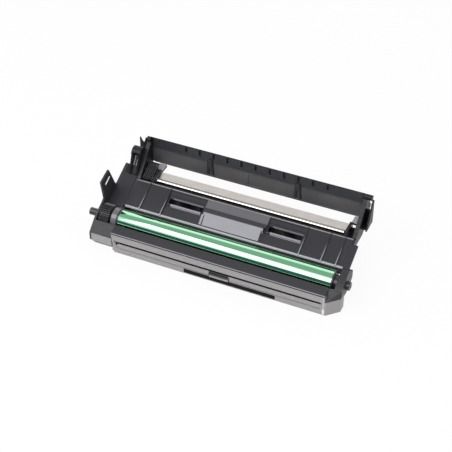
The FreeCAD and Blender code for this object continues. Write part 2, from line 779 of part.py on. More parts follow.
def make_auger():
    """Core with journals and a helical flight, and the spur gear on its left end."""
    gear_left = drum_gear_left + auger_gear_inset
    far = box_inner_end + skin / 2
    inner = box_inner_end - bearing_gap
    core = faceted_rod("x", -inner, auger_y, auger_z, inner * 2, auger_core, HELIX_SIDES)
    journals = [rod("x", start, auger_y, auger_z, end - start, auger_journal)
                for start, end in ((gear_left, -inner), (inner, far))]
    flight_reach = (inner - flight_margin).value
    rim, root, half = auger_flight.value, auger_journal.value / 2, paddle_gauge.value / 2
    section = [(root, -half), (rim, -half), (rim, half), (root, half)]
    flight = document.addObject("Part::Feature", "Flight")
    flight.Shape = helical_bar(section, flight_reach * 2 / auger_turns.value, auger_turns.value)
    flight.Placement = FreeCAD.Placement(
        Vector(-flight_reach, auger_y.value, auger_z.value), ROD_TURNS["x"])
    keep("waste_auger", fuse(core, flight, *journals))
    outside = module * (auger_teeth / 2 + 1)
    gear = turned(auger_y, auger_z, ring_profile(gear_left, gear_left + auger_gear_width,
                                                 auger_journal + seat_fit, outside))
    half_pitch = as_measure(180) / auger_teeth
    toothed(gear, auger_teeth, mesh_angle() + 180 - half_pitch, gear_left, auger_gear_width)
    keep("auger_gear", gear)


# The cradle: the sloping tray with ribs and finger windows, its rim and the roller trough

rim_wall = size("rim_wall", 2.4, "tray rim, thickness")
lip_drop = size("lip_drop", 9, "tray lip, depth of its skirt")
lip_bead = size("lip_bead", 1.1, "tray lip, bead radius")
beam_wall = size("beam_wall", 2, "rear beam, thickness")
beam_rise = size("beam_rise", 5, "rear beam above the trough floor")
tray_rib_height = size("tray_rib_height", 1.8, "tray ribs, height")
tray_rib_width = size("tray_rib_width", 1.2, "tray ribs, width")
rib_left_outer = size("rib_left_outer", 17, "outer left tray rib, from the tray's end")
rib_left_inner = size("rib_left_inner", 42.5, "inner left tray rib, from the tray's end")
rib_right_inner = size("rib_right_inner", 49.5, "inner right tray rib, from the tray's end")
rib_right_outer = size("rib_right_outer", 24.5, "outer right tray rib, from the tray's end")
rib_right_far = size("rib_right_far", 8, "last right tray rib, from the tray's end")
grip_left = size("grip_left", -40, "grip, left end")
grip_width = size("grip_width", 73, "grip, width")
finger_front = size("finger_front", 15.9, "finger window, behind the lip")
finger_depth = size("finger_depth", 6.4, "finger window, front to back")
finger_margin = size("finger_margin", 2, "finger window, from the grip and the ribs")
finger_bar = size("finger_bar", 1.3, "rounded bar in front of the finger window, radius")
bay_front = size("bay_front", 2.6, "finger bay, behind the lip")
bay_rear = size("bay_rear", 1.6, "finger bay, in front of the rim")
bay_depth = size("bay_depth", 1.3, "finger bay, below the tray's face")
bay_step = size("bay_step", 3, "finger bay, from its inner steps to the window or the bar")
rim_notch_pitch = size("rim_notch_pitch", 51, "notches in the rim, from pair to pair")
rim_notch_width = size("rim_notch_width", 1.8, "notches in the rim, width")
rim_notch_spacing = size("rim_notch_spacing", 6.5, "notches in the rim, from one to the next")
rim_notch_depth = size("rim_notch_depth", 2.5, "notches in the rim, depth")
pad_count = size("pad_count", 6, "fins in the left end of the trough, number")
pad_pitch = size("pad_pitch", 2, "fins, pitch")
pad_fin = size("pad_fin", 1, "fins, thickness")
pad_front_height = size("pad_front_height", 9, "fins, height at the front")
pad_rear_height = size("pad_rear_height", 19, "fins, height at the rear")
frame_boss = size("frame_boss", 3.2, "frame screw bosses, radius")
frame_boss_length = size("frame_boss_length", 12, "frame screw bosses, length")
frame_screw_back = size("frame_screw_back", 17, "front frame screws behind the lip")
frame_screw_drop = size("frame_screw_drop", 5.1, "front frame screws below the tray's face")
wall_screw_rise = size("wall_screw_rise", 14, "rear frame screws above the wall's foot")
frame_screw_length = size("frame_screw_length", 10, "frame screws, length")
side_wall = size("side_wall", 2, "rear side walls, thickness inside the cheeks")

frame_screw_y = lip_y + frame_screw_back
frame_screw_z = tray_top(frame_screw_y) - frame_screw_drop
wall_screw_z = wall_foot + wall_screw_rise

grip_right = grip_left + grip_width


def tray_rib(x):
    """Low rib down the tray, from its lip to its rim."""
    half = tray_rib_width / 2
    return prism("side", x - half, x + half, [
        (lip_y, lip_z - tray_rib_width), (lip_y, lip_z + tray_rib_height),
        (rim_y, rim_z + tray_rib_height / 2), (rim_y, rim_z - tray_rib_width)])


def finger_bay(x_from, x_to):
    """Cutters for a stepped recess in the tray and for the window that a finger goes through."""
    start, end = lip_y + bay_front, rim_y - bay_rear
    low, high = lip_y + finger_front, lip_y + finger_front + finger_depth
    front_step, rear_step = low - finger_bar * 2 - bay_step, high + bay_step
    shallow = bay_depth / 2
    recess = prism("side", x_from, x_to, [
        tray_point(start, -skin), tray_point(end, -skin), tray_point(end, shallow),
        tray_point(rear_step, shallow), tray_point(rear_step, bay_depth),
        tray_point(front_step, bay_depth), tray_point(front_step, shallow),
        tray_point(start, shallow)])
    window = block(x_from + finger_margin, x_to - finger_margin, low, high,
                   lip_z - tray_wall, rim_z + tray_wall)
    return fuse(recess, window)


def rim_notches():
    """Pairs of short cuts in the rear half of the rim's upper edge."""
    middle = (grip_left + grip_right) / 2
    half = rim_notch_width / 2
    cuts = []
    for pair in (-1, 0, 1):
        for side in (-1, 1):
            x = middle + rim_notch_pitch * pair + rim_notch_spacing / 2 * side
            cuts.append(block(x - half, x + half, rim_y + rim_wall / 2, rim_y + rim_wall * 2,
                              rim_z - rim_notch_depth, rim_z + skin))
    return cuts


def make_cradle():
    trough_under = trough_z - skin
    profile = prism("side", tray_left, tray_right, [
        (lip_y, lip_z - lip_drop), (lip_y, lip_z), (rim_y, rim_z), (rim_y + rim_wall, rim_z),
        (rim_y + rim_wall, trough_z), (beam_y, trough_z), (beam_y, trough_z + beam_rise),
        (beam_y + beam_wall, trough_z + beam_rise), (beam_y + beam_wall, trough_under),
        (rim_y - skin, trough_under), (rim_y - skin, tray_top(rim_y - skin) - tray_wall),
        (lip_y + skin, tray_top(lip_y + skin) - tray_wall), (lip_y + skin, lip_z - lip_drop)])
    bead = faceted_rod("x", tray_left, lip_y + lip_bead, lip_z - lip_bead / 4,
                       tray_right - tray_left, lip_bead)
    inner_left, inner_right = tray_left + rib_left_inner, tray_right - rib_right_inner
    ribs = [tray_rib(x) for x in (tray_left + rib_left_outer, inner_left, inner_right,
                                  tray_right - rib_right_outer, tray_right - rib_right_far)]
    spans = [(inner_left + tray_rib_width / 2, grip_left + 0),
             (grip_right, inner_right - tray_rib_width / 2)]
    bays = [finger_bay(*span) for span in spans]
    bar_y = lip_y + finger_front - finger_bar
    bars = [faceted_rod("x", start + finger_margin, bar_y, tray_top(bar_y) - bay_depth / 2,
                        end - start - finger_margin * 2, finger_bar)
            for start, end in spans]
    left_pocket = roller_left - roller_pocket
    right_pocket = roller_right + roller_pocket
    cheeks = [block(x, x + bush_wall, rim_y + skin, beam_y + skin / 2, trough_under, roller_z + bush_rise)
              for x in (left_pocket - bush_wall, right_pocket)]
    bores = [rod("x", x - skin, roller_y, roller_z, bush_wall + skin * 2, bush_radius + seat_fit)
             for x in (left_pocket - bush_wall, right_pocket)]
    bosses = [faceted_rod("x", x, frame_screw_y, frame_screw_z, frame_boss_length, frame_boss)
              for x in (tray_left, tray_right - frame_boss_length)]
    pilots = [faceted_rod("x", x, frame_screw_y, frame_screw_z, frame_boss_length,
                          screw_radius + seat_fit)
              for x in (tray_left, tray_right - frame_boss_length)]
    floor = cut(fuse(profile, bead), *bays, *rim_notches())
    return keep("cradle_frame", cut(fuse(floor, *ribs, *bars, *cheeks, *bosses, *pad_ribs()),
                                    *bores, *pilots))


def pad_ribs():
    """Comb of thin fins that stands in the left end of the trough."""
    fins = []
    start, end = rim_y + rim_wall + skin, beam_y + skin / 2
    for index in range(int(pad_count.value)):
        x = tray_left + side_wall + pad_pitch * (index + 1)
        fins.append(prism("side", x, x + pad_fin, [
            (start, trough_z - skin / 2), (start, trough_z + pad_front_height),
            (end, trough_z + pad_rear_height), (end, trough_z - skin / 2)]))
    return fins


# The idle roller in the trough behind the tray

roller_wall = size("roller_wall", 0.7, "idle roller, tube wall")
roller_pocket = size("roller_pocket", 1.5, "gap from the idle roller to each cheek")
roller_journal = size("roller_journal", 1.5, "idle roller, journal radius")
roller_plug = size("roller_plug", 6, "idle roller, depth of the end plugs")
bush_wall = size("bush_wall", 3, "cheeks that carry the idle roller, thickness")
bush_rise = size("bush_rise", 5.2, "cheeks above the idle roller axis")
bush_radius = size("bush_radius", 3.2, "idle roller bushes, outside radius")
stay_gauge = size("stay_gauge", 1, "steel stay, sheet thickness")
stay_lift = size("stay_lift", 3.1, "steel stay's rear edge above the idle roller axis")
stay_play = size("stay_play", 0.2, "steel stay, short of each cheek")


def make_idle_roller():
    """Bright tube, two plugs with journals, and two bushes in the cheeks."""
    bore = roller_radius - roller_wall
    ends = (("left", roller_left, -1), ("right", roller_right, 1))
    keep("idle_roller", turned(roller_y, roller_z, ring_profile(
        roller_left, roller_right, bore, roller_radius + 0)))
    for end, face, side in ends:
        near = face + side * roller_pocket
        tip = near + side * bush_wall
        inner = face - side * roller_plug
        plug = [(inner, as_measure(0)), (tip, as_measure(0)), (tip, roller_journal),
                (face, roller_journal), (face, bore - seat_fit), (inner, bore - seat_fit)]
        keep(f"idle_roller_{end}_plug", turned(roller_y, roller_z, plug))
        low, high = (near, tip) if side > 0 else (tip, near)
        keep(f"idle_roller_{end}_bush", turned(roller_y, roller_z, ring_profile(
            low, high, roller_journal + running_fit, bush_radius + 0)))


def make_stay():
    """Folded steel channel behind the idle roller; its upper face slopes as the tray does."""
    rear_y, rear_z = stay_y + stay_depth, roller_z + stay_lift
    front_z = rear_z - stay_depth * tray_pitch
    under = front_z - stay_gauge
    return keep("rear_stay", prism("side", roller_left - roller_pocket + stay_play,
                                   roller_right + roller_pocket - stay_play, [
        (stay_y, trough_z), (stay_y, front_z), (rear_y, rear_z), (rear_y, trough_z),
        (rear_y - stay_gauge, trough_z),
        (rear_y - stay_gauge, rear_z - stay_gauge * (tray_pitch + 1)),
        (stay_y + stay_gauge, under + stay_gauge * tray_pitch), (stay_y + stay_gauge, trough_z)]))


# The grip: a lighter moulding clipped over the middle of the tray

grip_steep_run = size("grip_steep_run", 11.4, "grip, depth of its steep face")
grip_steep_rise = size("grip_steep_rise", 10, "grip, rise of its steep face")
grip_crest = size("grip_crest", 1.8, "grip, width of its crest")
grip_step = size("grip_step", 1.9, "grip, drop behind its crest")
grip_cap = size("grip_cap", 1.6, "grip, rear plate above the tray")
grip_foot = size("grip_foot", 2.6, "grip, front edge behind the lip")
grip_tail = size("grip_tail", 1.5, "grip, rear edge in front of the rim")
grip_notch = size("grip_notch", 3.4, "grip, side notch width")
grip_notch_depth = size("grip_notch_depth", 5, "grip, side notch front to back")
grip_strip = size("grip_strip", 2.6, "grip, strip along the left of its steep face")
grip_groove = size("grip_groove", 1, "grip, groove beside the strip")
grip_step_in = size("grip_step_in", 3.4, "grip, steep face short of the right end")


def make_grip():
    """Wedge with a steep front face, a crest and a lower rear plate; notched sides."""
    foot_y = lip_y + grip_foot
    crest_y = foot_y + grip_steep_run
    crest_z = tray_top(foot_y) + grip_steep_rise
    back_y = rim_y - grip_tail
    step_y = crest_y + grip_crest
    wedge = prism("side", grip_left, grip_right, [
        (foot_y, tray_top(foot_y)), (crest_y, crest_z), (step_y, crest_z),
        (step_y + grip_step / 2, crest_z - grip_step), (back_y, tray_top(back_y) + grip_cap),
        (back_y, tray_top(back_y))])
    notches = [block(x_from, x_from + grip_notch, crest_y - grip_notch_depth / 2,
                     crest_y + grip_notch_depth / 2, lip_z, rim_z + grip_steep_rise)
               for x_from in (grip_left - grip_notch / 2, grip_right - grip_notch / 2)]
    groove_left = grip_left + grip_strip
    steep_end = crest_y - grip_notch_depth / 2
    groove = block(groove_left, groove_left + grip_groove, foot_y - skin, steep_end,
                   lip_z, rim_z + grip_steep_rise)
    step_in = block(grip_right - grip_step_in, grip_right + skin, foot_y - skin, steep_end,
                    lip_z, rim_z + grip_steep_rise)
    return keep("grip_block", cut(wedge, groove, step_in, *notches))


# The paper guide: a comb of deep ribs under the tray; its rear feet stand on the base plane

guide_inset = size("guide_inset", 23, "paper guide, short of each end of the drum")
guide_ribs = size("guide_ribs", 9, "paper guide, number of ribs")
guide_rib_width = size("guide_rib_width", 1.8, "paper guide, rib thickness")
guide_front_gap = size("guide_front_gap", 1.8, "paper guide behind the finger windows")
guide_front_drop = size("guide_front_drop", 12, "paper guide, depth of the ribs at the front")
guide_web_low = size("guide_web_low", 3, "paper guide, lower edge of its rear web")
guide_foot = size("guide_foot", 13, "paper guide, length of the feet")

guide_reach = drum_end - guide_inset


def make_paper_guide():
    y_front = lip_y + finger_front + finger_depth + guide_front_gap
    under = trough_z - skin
    y_rear = beam_y + beam_wall
    shelf = prism("side", -guide_reach, guide_reach, [
        (y_front, tray_top(y_front) - tray_wall), (rim_y - skin, tray_top(rim_y - skin) - tray_wall),
        (rim_y - skin, tray_top(rim_y - skin) - tray_wall - skin),
        (y_front, tray_top(y_front) - tray_wall - skin)])
    pitch = (guide_reach * 2 - guide_rib_width) / (guide_ribs - 1)
    ribs = []
    for index in range(int(guide_ribs.value)):
        x = -guide_reach + pitch * index
        ribs.append(prism("side", x, x + guide_rib_width, [
            (y_front, tray_top(y_front) - tray_wall - skin),
            (rim_y - skin, tray_top(rim_y - skin) - tray_wall - skin),
            (rim_y - skin, under), (y_rear, under), (y_rear, as_measure(0)),
            (y_rear - guide_foot, as_measure(0)),
            (y_front, tray_top(y_front) - tray_wall - guide_front_drop)]))
    web = block(-guide_reach, guide_reach, y_rear - skin, y_rear, guide_web_low, under)
    return keep("paper_guide", fuse(shelf, web, *ribs))


# The rear wall: lower panel, slotted upper band and cap, between the two end frames

wall_gauge = size("wall_gauge", 4.5, "rear wall, thickness")
wall_band = size("wall_band", 12.4, "rear wall, height of the slotted band")
wall_recess = size("wall_recess", 0.7, "rear wall, depth of the slotted band")
wall_cap = size("wall_cap", 1.8, "rear wall, cap thickness")
wall_cap_depth = size("wall_cap_depth", 6.5, "rear wall, cap front to back")
wall_slot_pitch = size("wall_slot_pitch", 16.7, "rear wall, pitch of the slots in the band")
wall_slot_first = size("wall_slot_first", -84.5, "rear wall, middle of the first slot")
wall_slot_count = size("wall_slot_count", 11, "rear wall, number of slots")
wall_slot_width = size("wall_slot_width", 2.8, "rear wall, width of a slot")
wall_slot_height = size("wall_slot_height", 8, "rear wall, height of a slot")
wall_slot_skin = size("wall_slot_skin", 1, "rear wall, thickness left behind a slot")
panel_left = size("panel_left", -9.6, "rear wall, middle recess, left edge")
panel_width = size("panel_width", 12.2, "rear wall, middle recess, width")
panel_height = size("panel_height", 13, "rear wall, middle recess, height")
panel_recess = size("panel_recess", 0.8, "rear wall, middle recess, depth")
wall_bead = size("wall_bead", 1.4, "rear wall, height of the bead along its lower edge")
bead_proud = size("bead_proud", 0.7, "rear wall, bead in front of the panel")
corner_block = size("corner_block", 6, "rear wall, blocks in its upper corners, width and height")
clip_pocket = size("clip_pocket", 1, "pockets round the clips, depth and margin")


def make_rear_wall():
    band_foot = wall_top - wall_cap - wall_band
    back = wall_y + wall_gauge
    profile = prism("side", tray_left, tray_right, [
        (wall_y, wall_foot), (wall_y, band_foot), (wall_y + wall_recess, band_foot),
        (wall_y + wall_recess, wall_top - wall_cap), (wall_y, wall_top - wall_cap),
        (wall_y, wall_top), (wall_y + wall_cap_depth, wall_top),
        (wall_y + wall_cap_depth, wall_top - wall_cap * 2), (back, wall_top - wall_cap * 2),
        (back, wall_foot)])
    slots = []
    slot_top = wall_top - wall_cap
    for index in range(int(wall_slot_count.value)):
        x = wall_slot_first + wall_slot_pitch * index - wall_slot_width / 2
        slots.append(block(x, x + wall_slot_width, wall_y - skin, back - wall_slot_skin,
                           slot_top - wall_slot_height, slot_top))
    recess = block(panel_left, panel_left + panel_width, wall_y - skin, wall_y + panel_recess,
                   wall_foot + skin, wall_foot + skin + panel_height)
    screw_y = wall_screw_y()
    bosses = [faceted_rod("x", x, screw_y, wall_screw_z, frame_boss_length, frame_boss)
              for x in (tray_left, tray_right - frame_boss_length)]
    pilots = [faceted_rod("x", x, screw_y, wall_screw_z, frame_boss_length,
                          screw_radius + seat_fit)
              for x in (tray_left, tray_right - frame_boss_length)]
    left, right = tray_left + side_wall * 2, tray_right - side_wall * 2
    bead = block(left, right, wall_y - bead_proud, wall_y + wall_gauge, wall_foot,
                 wall_foot + wall_bead)
    corners = [block(x, x + corner_block, wall_y - bead_proud, back, wall_top - corner_block, wall_top)
               for x in (left, right - corner_block)]
    pockets = [clip_outline(x, clip_pocket, wall_y - skin, wall_y + clip_pocket)
               for x in (clip_first, clip_first + clip_spacing)]
    return keep("rear_wall", cut(fuse(profile, bead, *corners, *bosses), recess,
                                 *slots, *pockets, *pilots))


def wall_screw_y():
    """The rear frame screws run behind the lower panel, in bosses that touch its back."""
    return wall_y + wall_gauge + frame_boss / 2


# The two spring clips that stand on the rear wall's lower panel

clip_first = size("clip_first", -55, "left clip, middle")
clip_spacing = size("clip_spacing", 104, "clips, from middle to middle")
clip_height = size("clip_height", 19, "clips, height")
clip_foot_width = size("clip_foot_width", 8, "clips, width at the foot")
clip_top_width = size("clip_top_width", 4.4, "clips, width at the top")
clip_leg = size("clip_leg", 1.8, "clips, width of a leg")
clip_gauge = size("clip_gauge", 1.4, "clips, in front of the rear wall")
clip_rise = size("clip_rise", 2.8, "clips, above the rear wall's lower edge")


def clip_outline(x, margin, y_from, y_to):
    """Tapered outline of a clip, or of the pocket round it with a margin."""
    low = wall_foot + clip_rise
    high = low + clip_height
    foot, head = clip_foot_width / 2 + margin, clip_top_width / 2 + margin
    return prism("front", y_from, y_to, [
        (x - foot, low - margin), (x + foot, low - margin), (x + head, high + margin),
        (x - head, high + margin)])


def make_clip(x):
    """A-shaped clip: two legs that lean together, a bridge and a head."""
    low = wall_foot + clip_rise
    high = low + clip_height
    foot, head = clip_foot_width / 2, clip_top_width / 2
    outer = clip_outline(x, as_measure(0), wall_y - clip_gauge, wall_y + clip_pocket)
    opening = prism("front", wall_y - clip_gauge - skin, wall_y + skin, [
        (x - foot + clip_leg, low - skin), (x + foot - clip_leg, low - skin),
        (x + head / 2, high - clip_height / 2), (x - head / 2, high - clip_height / 2)])
    return cut(outer, opening)


def make_clips():
    return keep("rear_spring_clips", group(make_clip(clip_first), make_clip(clip_first + clip_spacing)))


# The end frames: black mouldings that carry the drum, close the ends and hold the rear wall

inner_cheek = size("inner_cheek", 2.4, "inner cheeks, thickness")
slope_run = size("slope_run", 15.2, "steep front face of the cheeks, depth")
slope_angle = size("slope_angle", 42, "steep front face, degrees from level")
skin_run = size("skin_run", 11.3, "steep front skins, depth")
front_skin = size("front_skin", 1.8, "steep front skins, thickness")
saddle_run = size("saddle_run", 3.4, "cheek corner behind the drum axis")
saddle_rise = size("saddle_rise", 12.7, "cheek corner above the drum axis")
ear_foot_run = size("ear_foot_run", 8, "ear, front foot behind the drum axis")
ear_foot_rise = size("ear_foot_rise", 16, "ear, front foot above the drum axis")
ear_lean = size("ear_lean", 4.2, "ear, forward lean of its front edge")
ear_height = size("ear_height", 23.8, "ear, height of its front edge")
ear_top_run = size("ear_top_run", 17.4, "ear, depth of its top edge")
ear_top_rise = size("ear_top_rise", 5.8, "ear, rise of its top edge")
ear_back_run = size("ear_back_run", 13, "ear, depth of its rear edge")
ear_slot_start = size("ear_slot_start", 8, "ear slot, behind the ear's front corner")
ear_slot_drop = size("ear_slot_drop", 6.8, "ear slot, below the ear's front corner")
ear_slot_run = size("ear_slot_run", 10.7, "ear slot, depth")
ear_slot_rise = size("ear_slot_rise", 5, "ear slot, rise to the rear")
ear_slot_width = size("ear_slot_width", 3.8, "ear slot, width")
wing_rear = size("wing_rear", 14.9, "left wing, behind the tray rim")
wing_front = size("wing_front", 2.4, "wings, start in front of the lip")
cheek_skirt = size("cheek_skirt", 6, "cheeks, depth below the tray's face")
right_wing = size("right_wing", 7.2, "right wing, width outside the tray")
right_wing_rear = size("right_wing_rear", 26.4, "right wing, depth behind the lip")
ring_wall = size("ring_wall", 1.7, "bearing saddle, wall")
ring_inset = size("ring_inset", 1, "bearing saddle, back from the bearing's inner face")
saddle_slope = size("saddle_slope", 8, "bearing saddle, front edge below and rear edge above the axis")
block_rear_drop = size("block_rear_drop", 11, "right bearing block below the drum axis")
side_rear = size("side_rear", 3.5, "rear side walls, behind the rear wall")
bush_boss = size("bush_boss", 3, "round corner bosses at the rear, radius")
bush_boss_reach = size("bush_boss_reach", 5, "right corner boss, length outside the cheek")
guide_width = size("guide_width", 10.6, "guide block, width")
guide_back = size("guide_back", 18.3, "guide block, head's centre behind the tray rim")
guide_rise = size("guide_rise", 23.2, "guide block, head's centre above the tray rim")
guide_head = size("guide_head", 7, "guide block, head radius")
guide_side = size("guide_side", 2.2, "guide block, walls of its channel")
guide_channel = size("guide_channel", 3.4, "guide block, depth of its channel")
prong_gauge = size("prong_gauge", 2, "prongs, thickness")
prong_height = size("prong_height", 9, "prongs, height")
fin_gap = size("fin_gap", 4.6, "right rear fin, gap outside the cheek")
fin_gauge = size("fin_gauge", 1.8, "right rear fin, thickness")
fin_front = size("fin_front", 18, "right rear fin, front foot behind the tray rim")
fin_depth = size("fin_depth", 15, "right rear fin, depth")
fin_height = size("fin_height", 27, "right rear fin, height")
ground_pin_radius = size("ground_pin_radius", 0.9, "ground pin, radius")
ground_pin_low = size("ground_pin_low", 9, "ground pin, tip above the base")
ground_pin_length = size("ground_pin_length", 10, "ground pin, length")
ground_pin_inset = size("ground_pin_inset", 3, "ground pin, from the right end")

ledge_left_reach = size("ledge_left_reach", 19.5, "ledge in the rear slot, from the tray's left end")
ledge_right_reach = size("ledge_right_reach", 10.5, "ledge in the rear slot, from the right end")
ledge_gauge = size("ledge_gauge", 2, "ledges in the rear slot, thickness")
end_pad_width = size("end_pad_width", 8, "pads on the ledges, width")
end_pad_gauge = size("end_pad_gauge", 1.2, "pads on the ledges, thickness")

block_inner = drum_end + disc + flange_neck + bearing_gap
slope_pitch = tangent(slope_angle)
left_inner_face = tray_left + 0
left_cheek_out = tray_left - inner_cheek
right_cheek_out = tray_right + inner_cheek
side_back = wall_y + wall_gauge + side_rear


def slope_skin(x_from, x_to):
    """Thin steep plate that closes one end of the box above its front wall."""
    end_y = front + skin_run
    end_z = box_end_height + skin_run * slope_pitch
    under = front_skin / cosine(slope_angle)
    return prism("side", x_from, x_to, [
        (front, box_end_height), (end_y, end_z), (end_y, end_z - under),
        (front + under / slope_pitch, box_end_height)])


def rear_cheek(x_from, x_to, start_y):
    """Inner cheek from the lip back to the rear wall; its upper edge climbs to the wall's top."""
    return prism("side", x_from, x_to, [
        (start_y, lip_z - lip_drop), (start_y, tray_top(start_y)), (rim_y + rim_wall, rim_z),
        (wall_y, wall_top), (side_back, wall_top), (side_back, wall_foot),
        (beam_y + beam_wall, trough_z - skin), (rim_y - skin, trough_z - skin),
        (lip_y + skin * 2, lip_z - lip_drop)])


def rear_side(x_from, x_to):
    """Thicker part of the cheek above and behind the trough."""
    low = trough_z + beam_rise
    start = rim_y + rim_wall + seat_fit
    back = beam_y + beam_wall + seat_fit
    climb = (wall_top - rim_z) / (wall_y - rim_y - rim_wall)
    return prism("side", x_from, x_to, [
        (start, low + seat_fit), (start, rim_z + (start - rim_y - rim_wall) * climb),
        (wall_y - seat_fit, wall_top), (wall_y - seat_fit, wall_foot),
        (back, trough_z), (back, low + seat_fit)])


def ledge(x_from, x_to, low, gauge):
    """Flat strip from the beam back to the rear wall, at one end of the slot between them."""
    return block(x_from, x_to, beam_y + beam_wall + seat_fit, wall_y - bead_proud - seat_fit,
                 low, low + gauge)


def make_end_pads():
    """Two light pads, one on each ledge."""
    low = wall_foot - end_pad_gauge
    left, right = tray_left + ledge_left_reach, tray_right - ledge_right_reach
    keep("slot_end_pads", group(ledge(left - end_pad_width, left, low, end_pad_gauge),
                                ledge(right, right + end_pad_width, low, end_pad_gauge)))


def screw_holes(x_from, length):
    """Clearance holes for the frame screws of one end."""
    radius = screw_radius + seat_fit
    return [faceted_rod("x", x_from, frame_screw_y, frame_screw_z, length, radius),
            faceted_rod("x", x_from, wall_screw_y(), wall_screw_z, length, radius)]


def ear_and_cheek():
    """Left outer cheek: steep front, ear with a slot, and the edge of the wing."""
    outer = left_end - cheek
    slope_y = front + slope_run
    foot_y, foot_z = drum_y + ear_foot_run, drum_z + ear_foot_rise
    top_y, top_z = foot_y - ear_lean, foot_z + ear_height
    back_y, back_z = top_y + ear_top_run, top_z + ear_top_rise
    valley_y = back_y + ear_back_run
    valley_z = tray_top(valley_y) + wing_front
    wing_y = rim_y + wing_rear
    meet_y = valley_y + wing_front * 2
    plate = prism("side", outer, left_end, [
        (front, left_foot_rise), (front, box_end_height),
        (slope_y, box_end_height + slope_run * slope_pitch),
        (drum_y + saddle_run, drum_z + saddle_rise), (foot_y, foot_z), (top_y, top_z),
        (back_y, back_z), (valley_y, valley_z), (meet_y, tray_top(meet_y)),
        (wing_y, tray_top(wing_y)), (wing_y, tray_top(wing_y) - cheek_skirt),
        (lip_y, lip_z - lip_drop), (box_rear, left_foot_rise)])
    near_y, near_z = top_y + ear_slot_start, top_z - ear_slot_drop
    far_y, far_z = near_y + ear_slot_run, near_z + ear_slot_rise
    half = ear_slot_width / 2
    slot = prism("side", outer - skin, left_end + skin, [
        (near_y, near_z + half), (far_y, far_z + half), (far_y, far_z - half),
        (near_y, near_z - half)])
    journal = rod("x", outer - skin, drum_y, drum_z, cheek + skin * 2,
                  shoulder_radius + running_fit)
    return cut(plate, slot, journal)


def wing(x_from, x_to, start_y, end_y):
    """Flat part beside the tray, in the plane of the tray's face."""
    return prism("side", x_from, x_to, [
        (start_y, tray_top(start_y)), (end_y, tray_top(end_y)),
        (end_y, tray_top(end_y) - tray_wall), (start_y, tray_top(start_y) - tray_wall)])


def guide_block():
    """Round-headed block on the left wing with a channel down its front."""
    head_y, head_z = rim_y + guide_back, rim_z + guide_rise
    left, right = left_cheek_out - guide_width, left_cheek_out + seat_fit
    foot_y = rim_y + skin
    rear_y = head_y + guide_head
    lean = sine(slope_angle) * guide_head
    body = prism("side", left, right, [
        (foot_y, tray_top(foot_y) - skin), (head_y - lean, head_z + guide_head - lean / 2),
        (head_y, head_z), (rear_y, head_z), (rear_y, rim_z + wall_foot_rise),
        (head_y, trough_z)])
    head = rod("x", left, head_y, head_z, right - left, guide_head)
    channel = prism("side", left + guide_side, right - guide_side, [
        (foot_y - skin, tray_top(foot_y)), (head_y - lean - skin, head_z + guide_head / 2),
        (head_y - lean + guide_channel, head_z - guide_head / 2),
        (foot_y + guide_channel, tray_top(foot_y + guide_channel))])
    return cut(fuse(body, head), channel)


def prongs():
    """Rear plate of the left end with two pointed prongs on its upper edge."""
    left, right = left_cheek_out - guide_width, left_cheek_out + seat_fit
    middle = (left + right) / 2
    low = rim_z + wall_foot_rise
    shoulder = wall_top - prong_height
    return prism("front", wall_y - prong_gauge, wall_y + 0, [
        (left, low), (left, wall_top - prong_height / 3), (middle - skin, shoulder),
        (middle, shoulder), (middle + skin, wall_top - prong_height / 4),
        (right, shoulder), (right, low)])


def make_left_frame():
    """Outer cheek with the ear, inner cheek, bearing saddle, wing and guide block."""
    head_y = rim_y + guide_back
    face = left_inner_face
    bore_right = -(drum_end + disc + bearing_gap + ring_inset)
    bore_left = -(drum_end + disc + bearing_gap + bearing_length)
    ring_length = bore_right - bore_left
    ring_radius = bearing_radius + ring_wall
    upper_half = prism("side", bore_left - skin, bore_right + skin, [
        (drum_y - ring_radius, drum_z - saddle_slope), (drum_y + ring_radius, drum_z + saddle_slope),
        (drum_y + ring_radius, drum_z + ring_radius), (drum_y - ring_radius, drum_z + ring_radius)])
    saddle = cut(rod("x", bore_left, drum_y, drum_z, ring_length, ring_radius), upper_half)
    bridge = block(left_cheek_out, face, drum_y, lip_y + skin, lip_z - lip_drop, lip_z - skin)
    shelf = block(left_cheek_out - guide_width, left_cheek_out + seat_fit, head_y,
                  wall_y + 0, rim_z, rim_z + wall_foot_rise)
    boss = rod("x", left_cheek_out, wall_y - bush_boss - seat_fit, wall_top - bush_boss / 2,
               inner_cheek + side_wall, bush_boss)
    shelf_low = wall_foot - end_pad_gauge - ledge_gauge
    solid = fuse(
        ear_and_cheek(), slope_skin(left_end, -cover_reach),
        ledge(face + side_wall / 2, face + ledge_left_reach, shelf_low, ledge_gauge),
        wing(left_end, left_cheek_out + seat_fit, lip_y - wing_front, rim_y + wing_rear),
        rear_cheek(left_cheek_out, face, lip_y), rear_side(face, face + side_wall),
        saddle, bridge, guide_block(), shelf, prongs(), boss)
    bearing = rod("x", bore_left - skin, drum_y, drum_z, ring_length + skin * 2,
                  bearing_radius + seat_fit)
    return keep("left_end_frame", cut(solid, bearing, *screw_holes(left_cheek_out - guide_width - skin,
                                                                   guide_width + inner_cheek + skin * 2)))


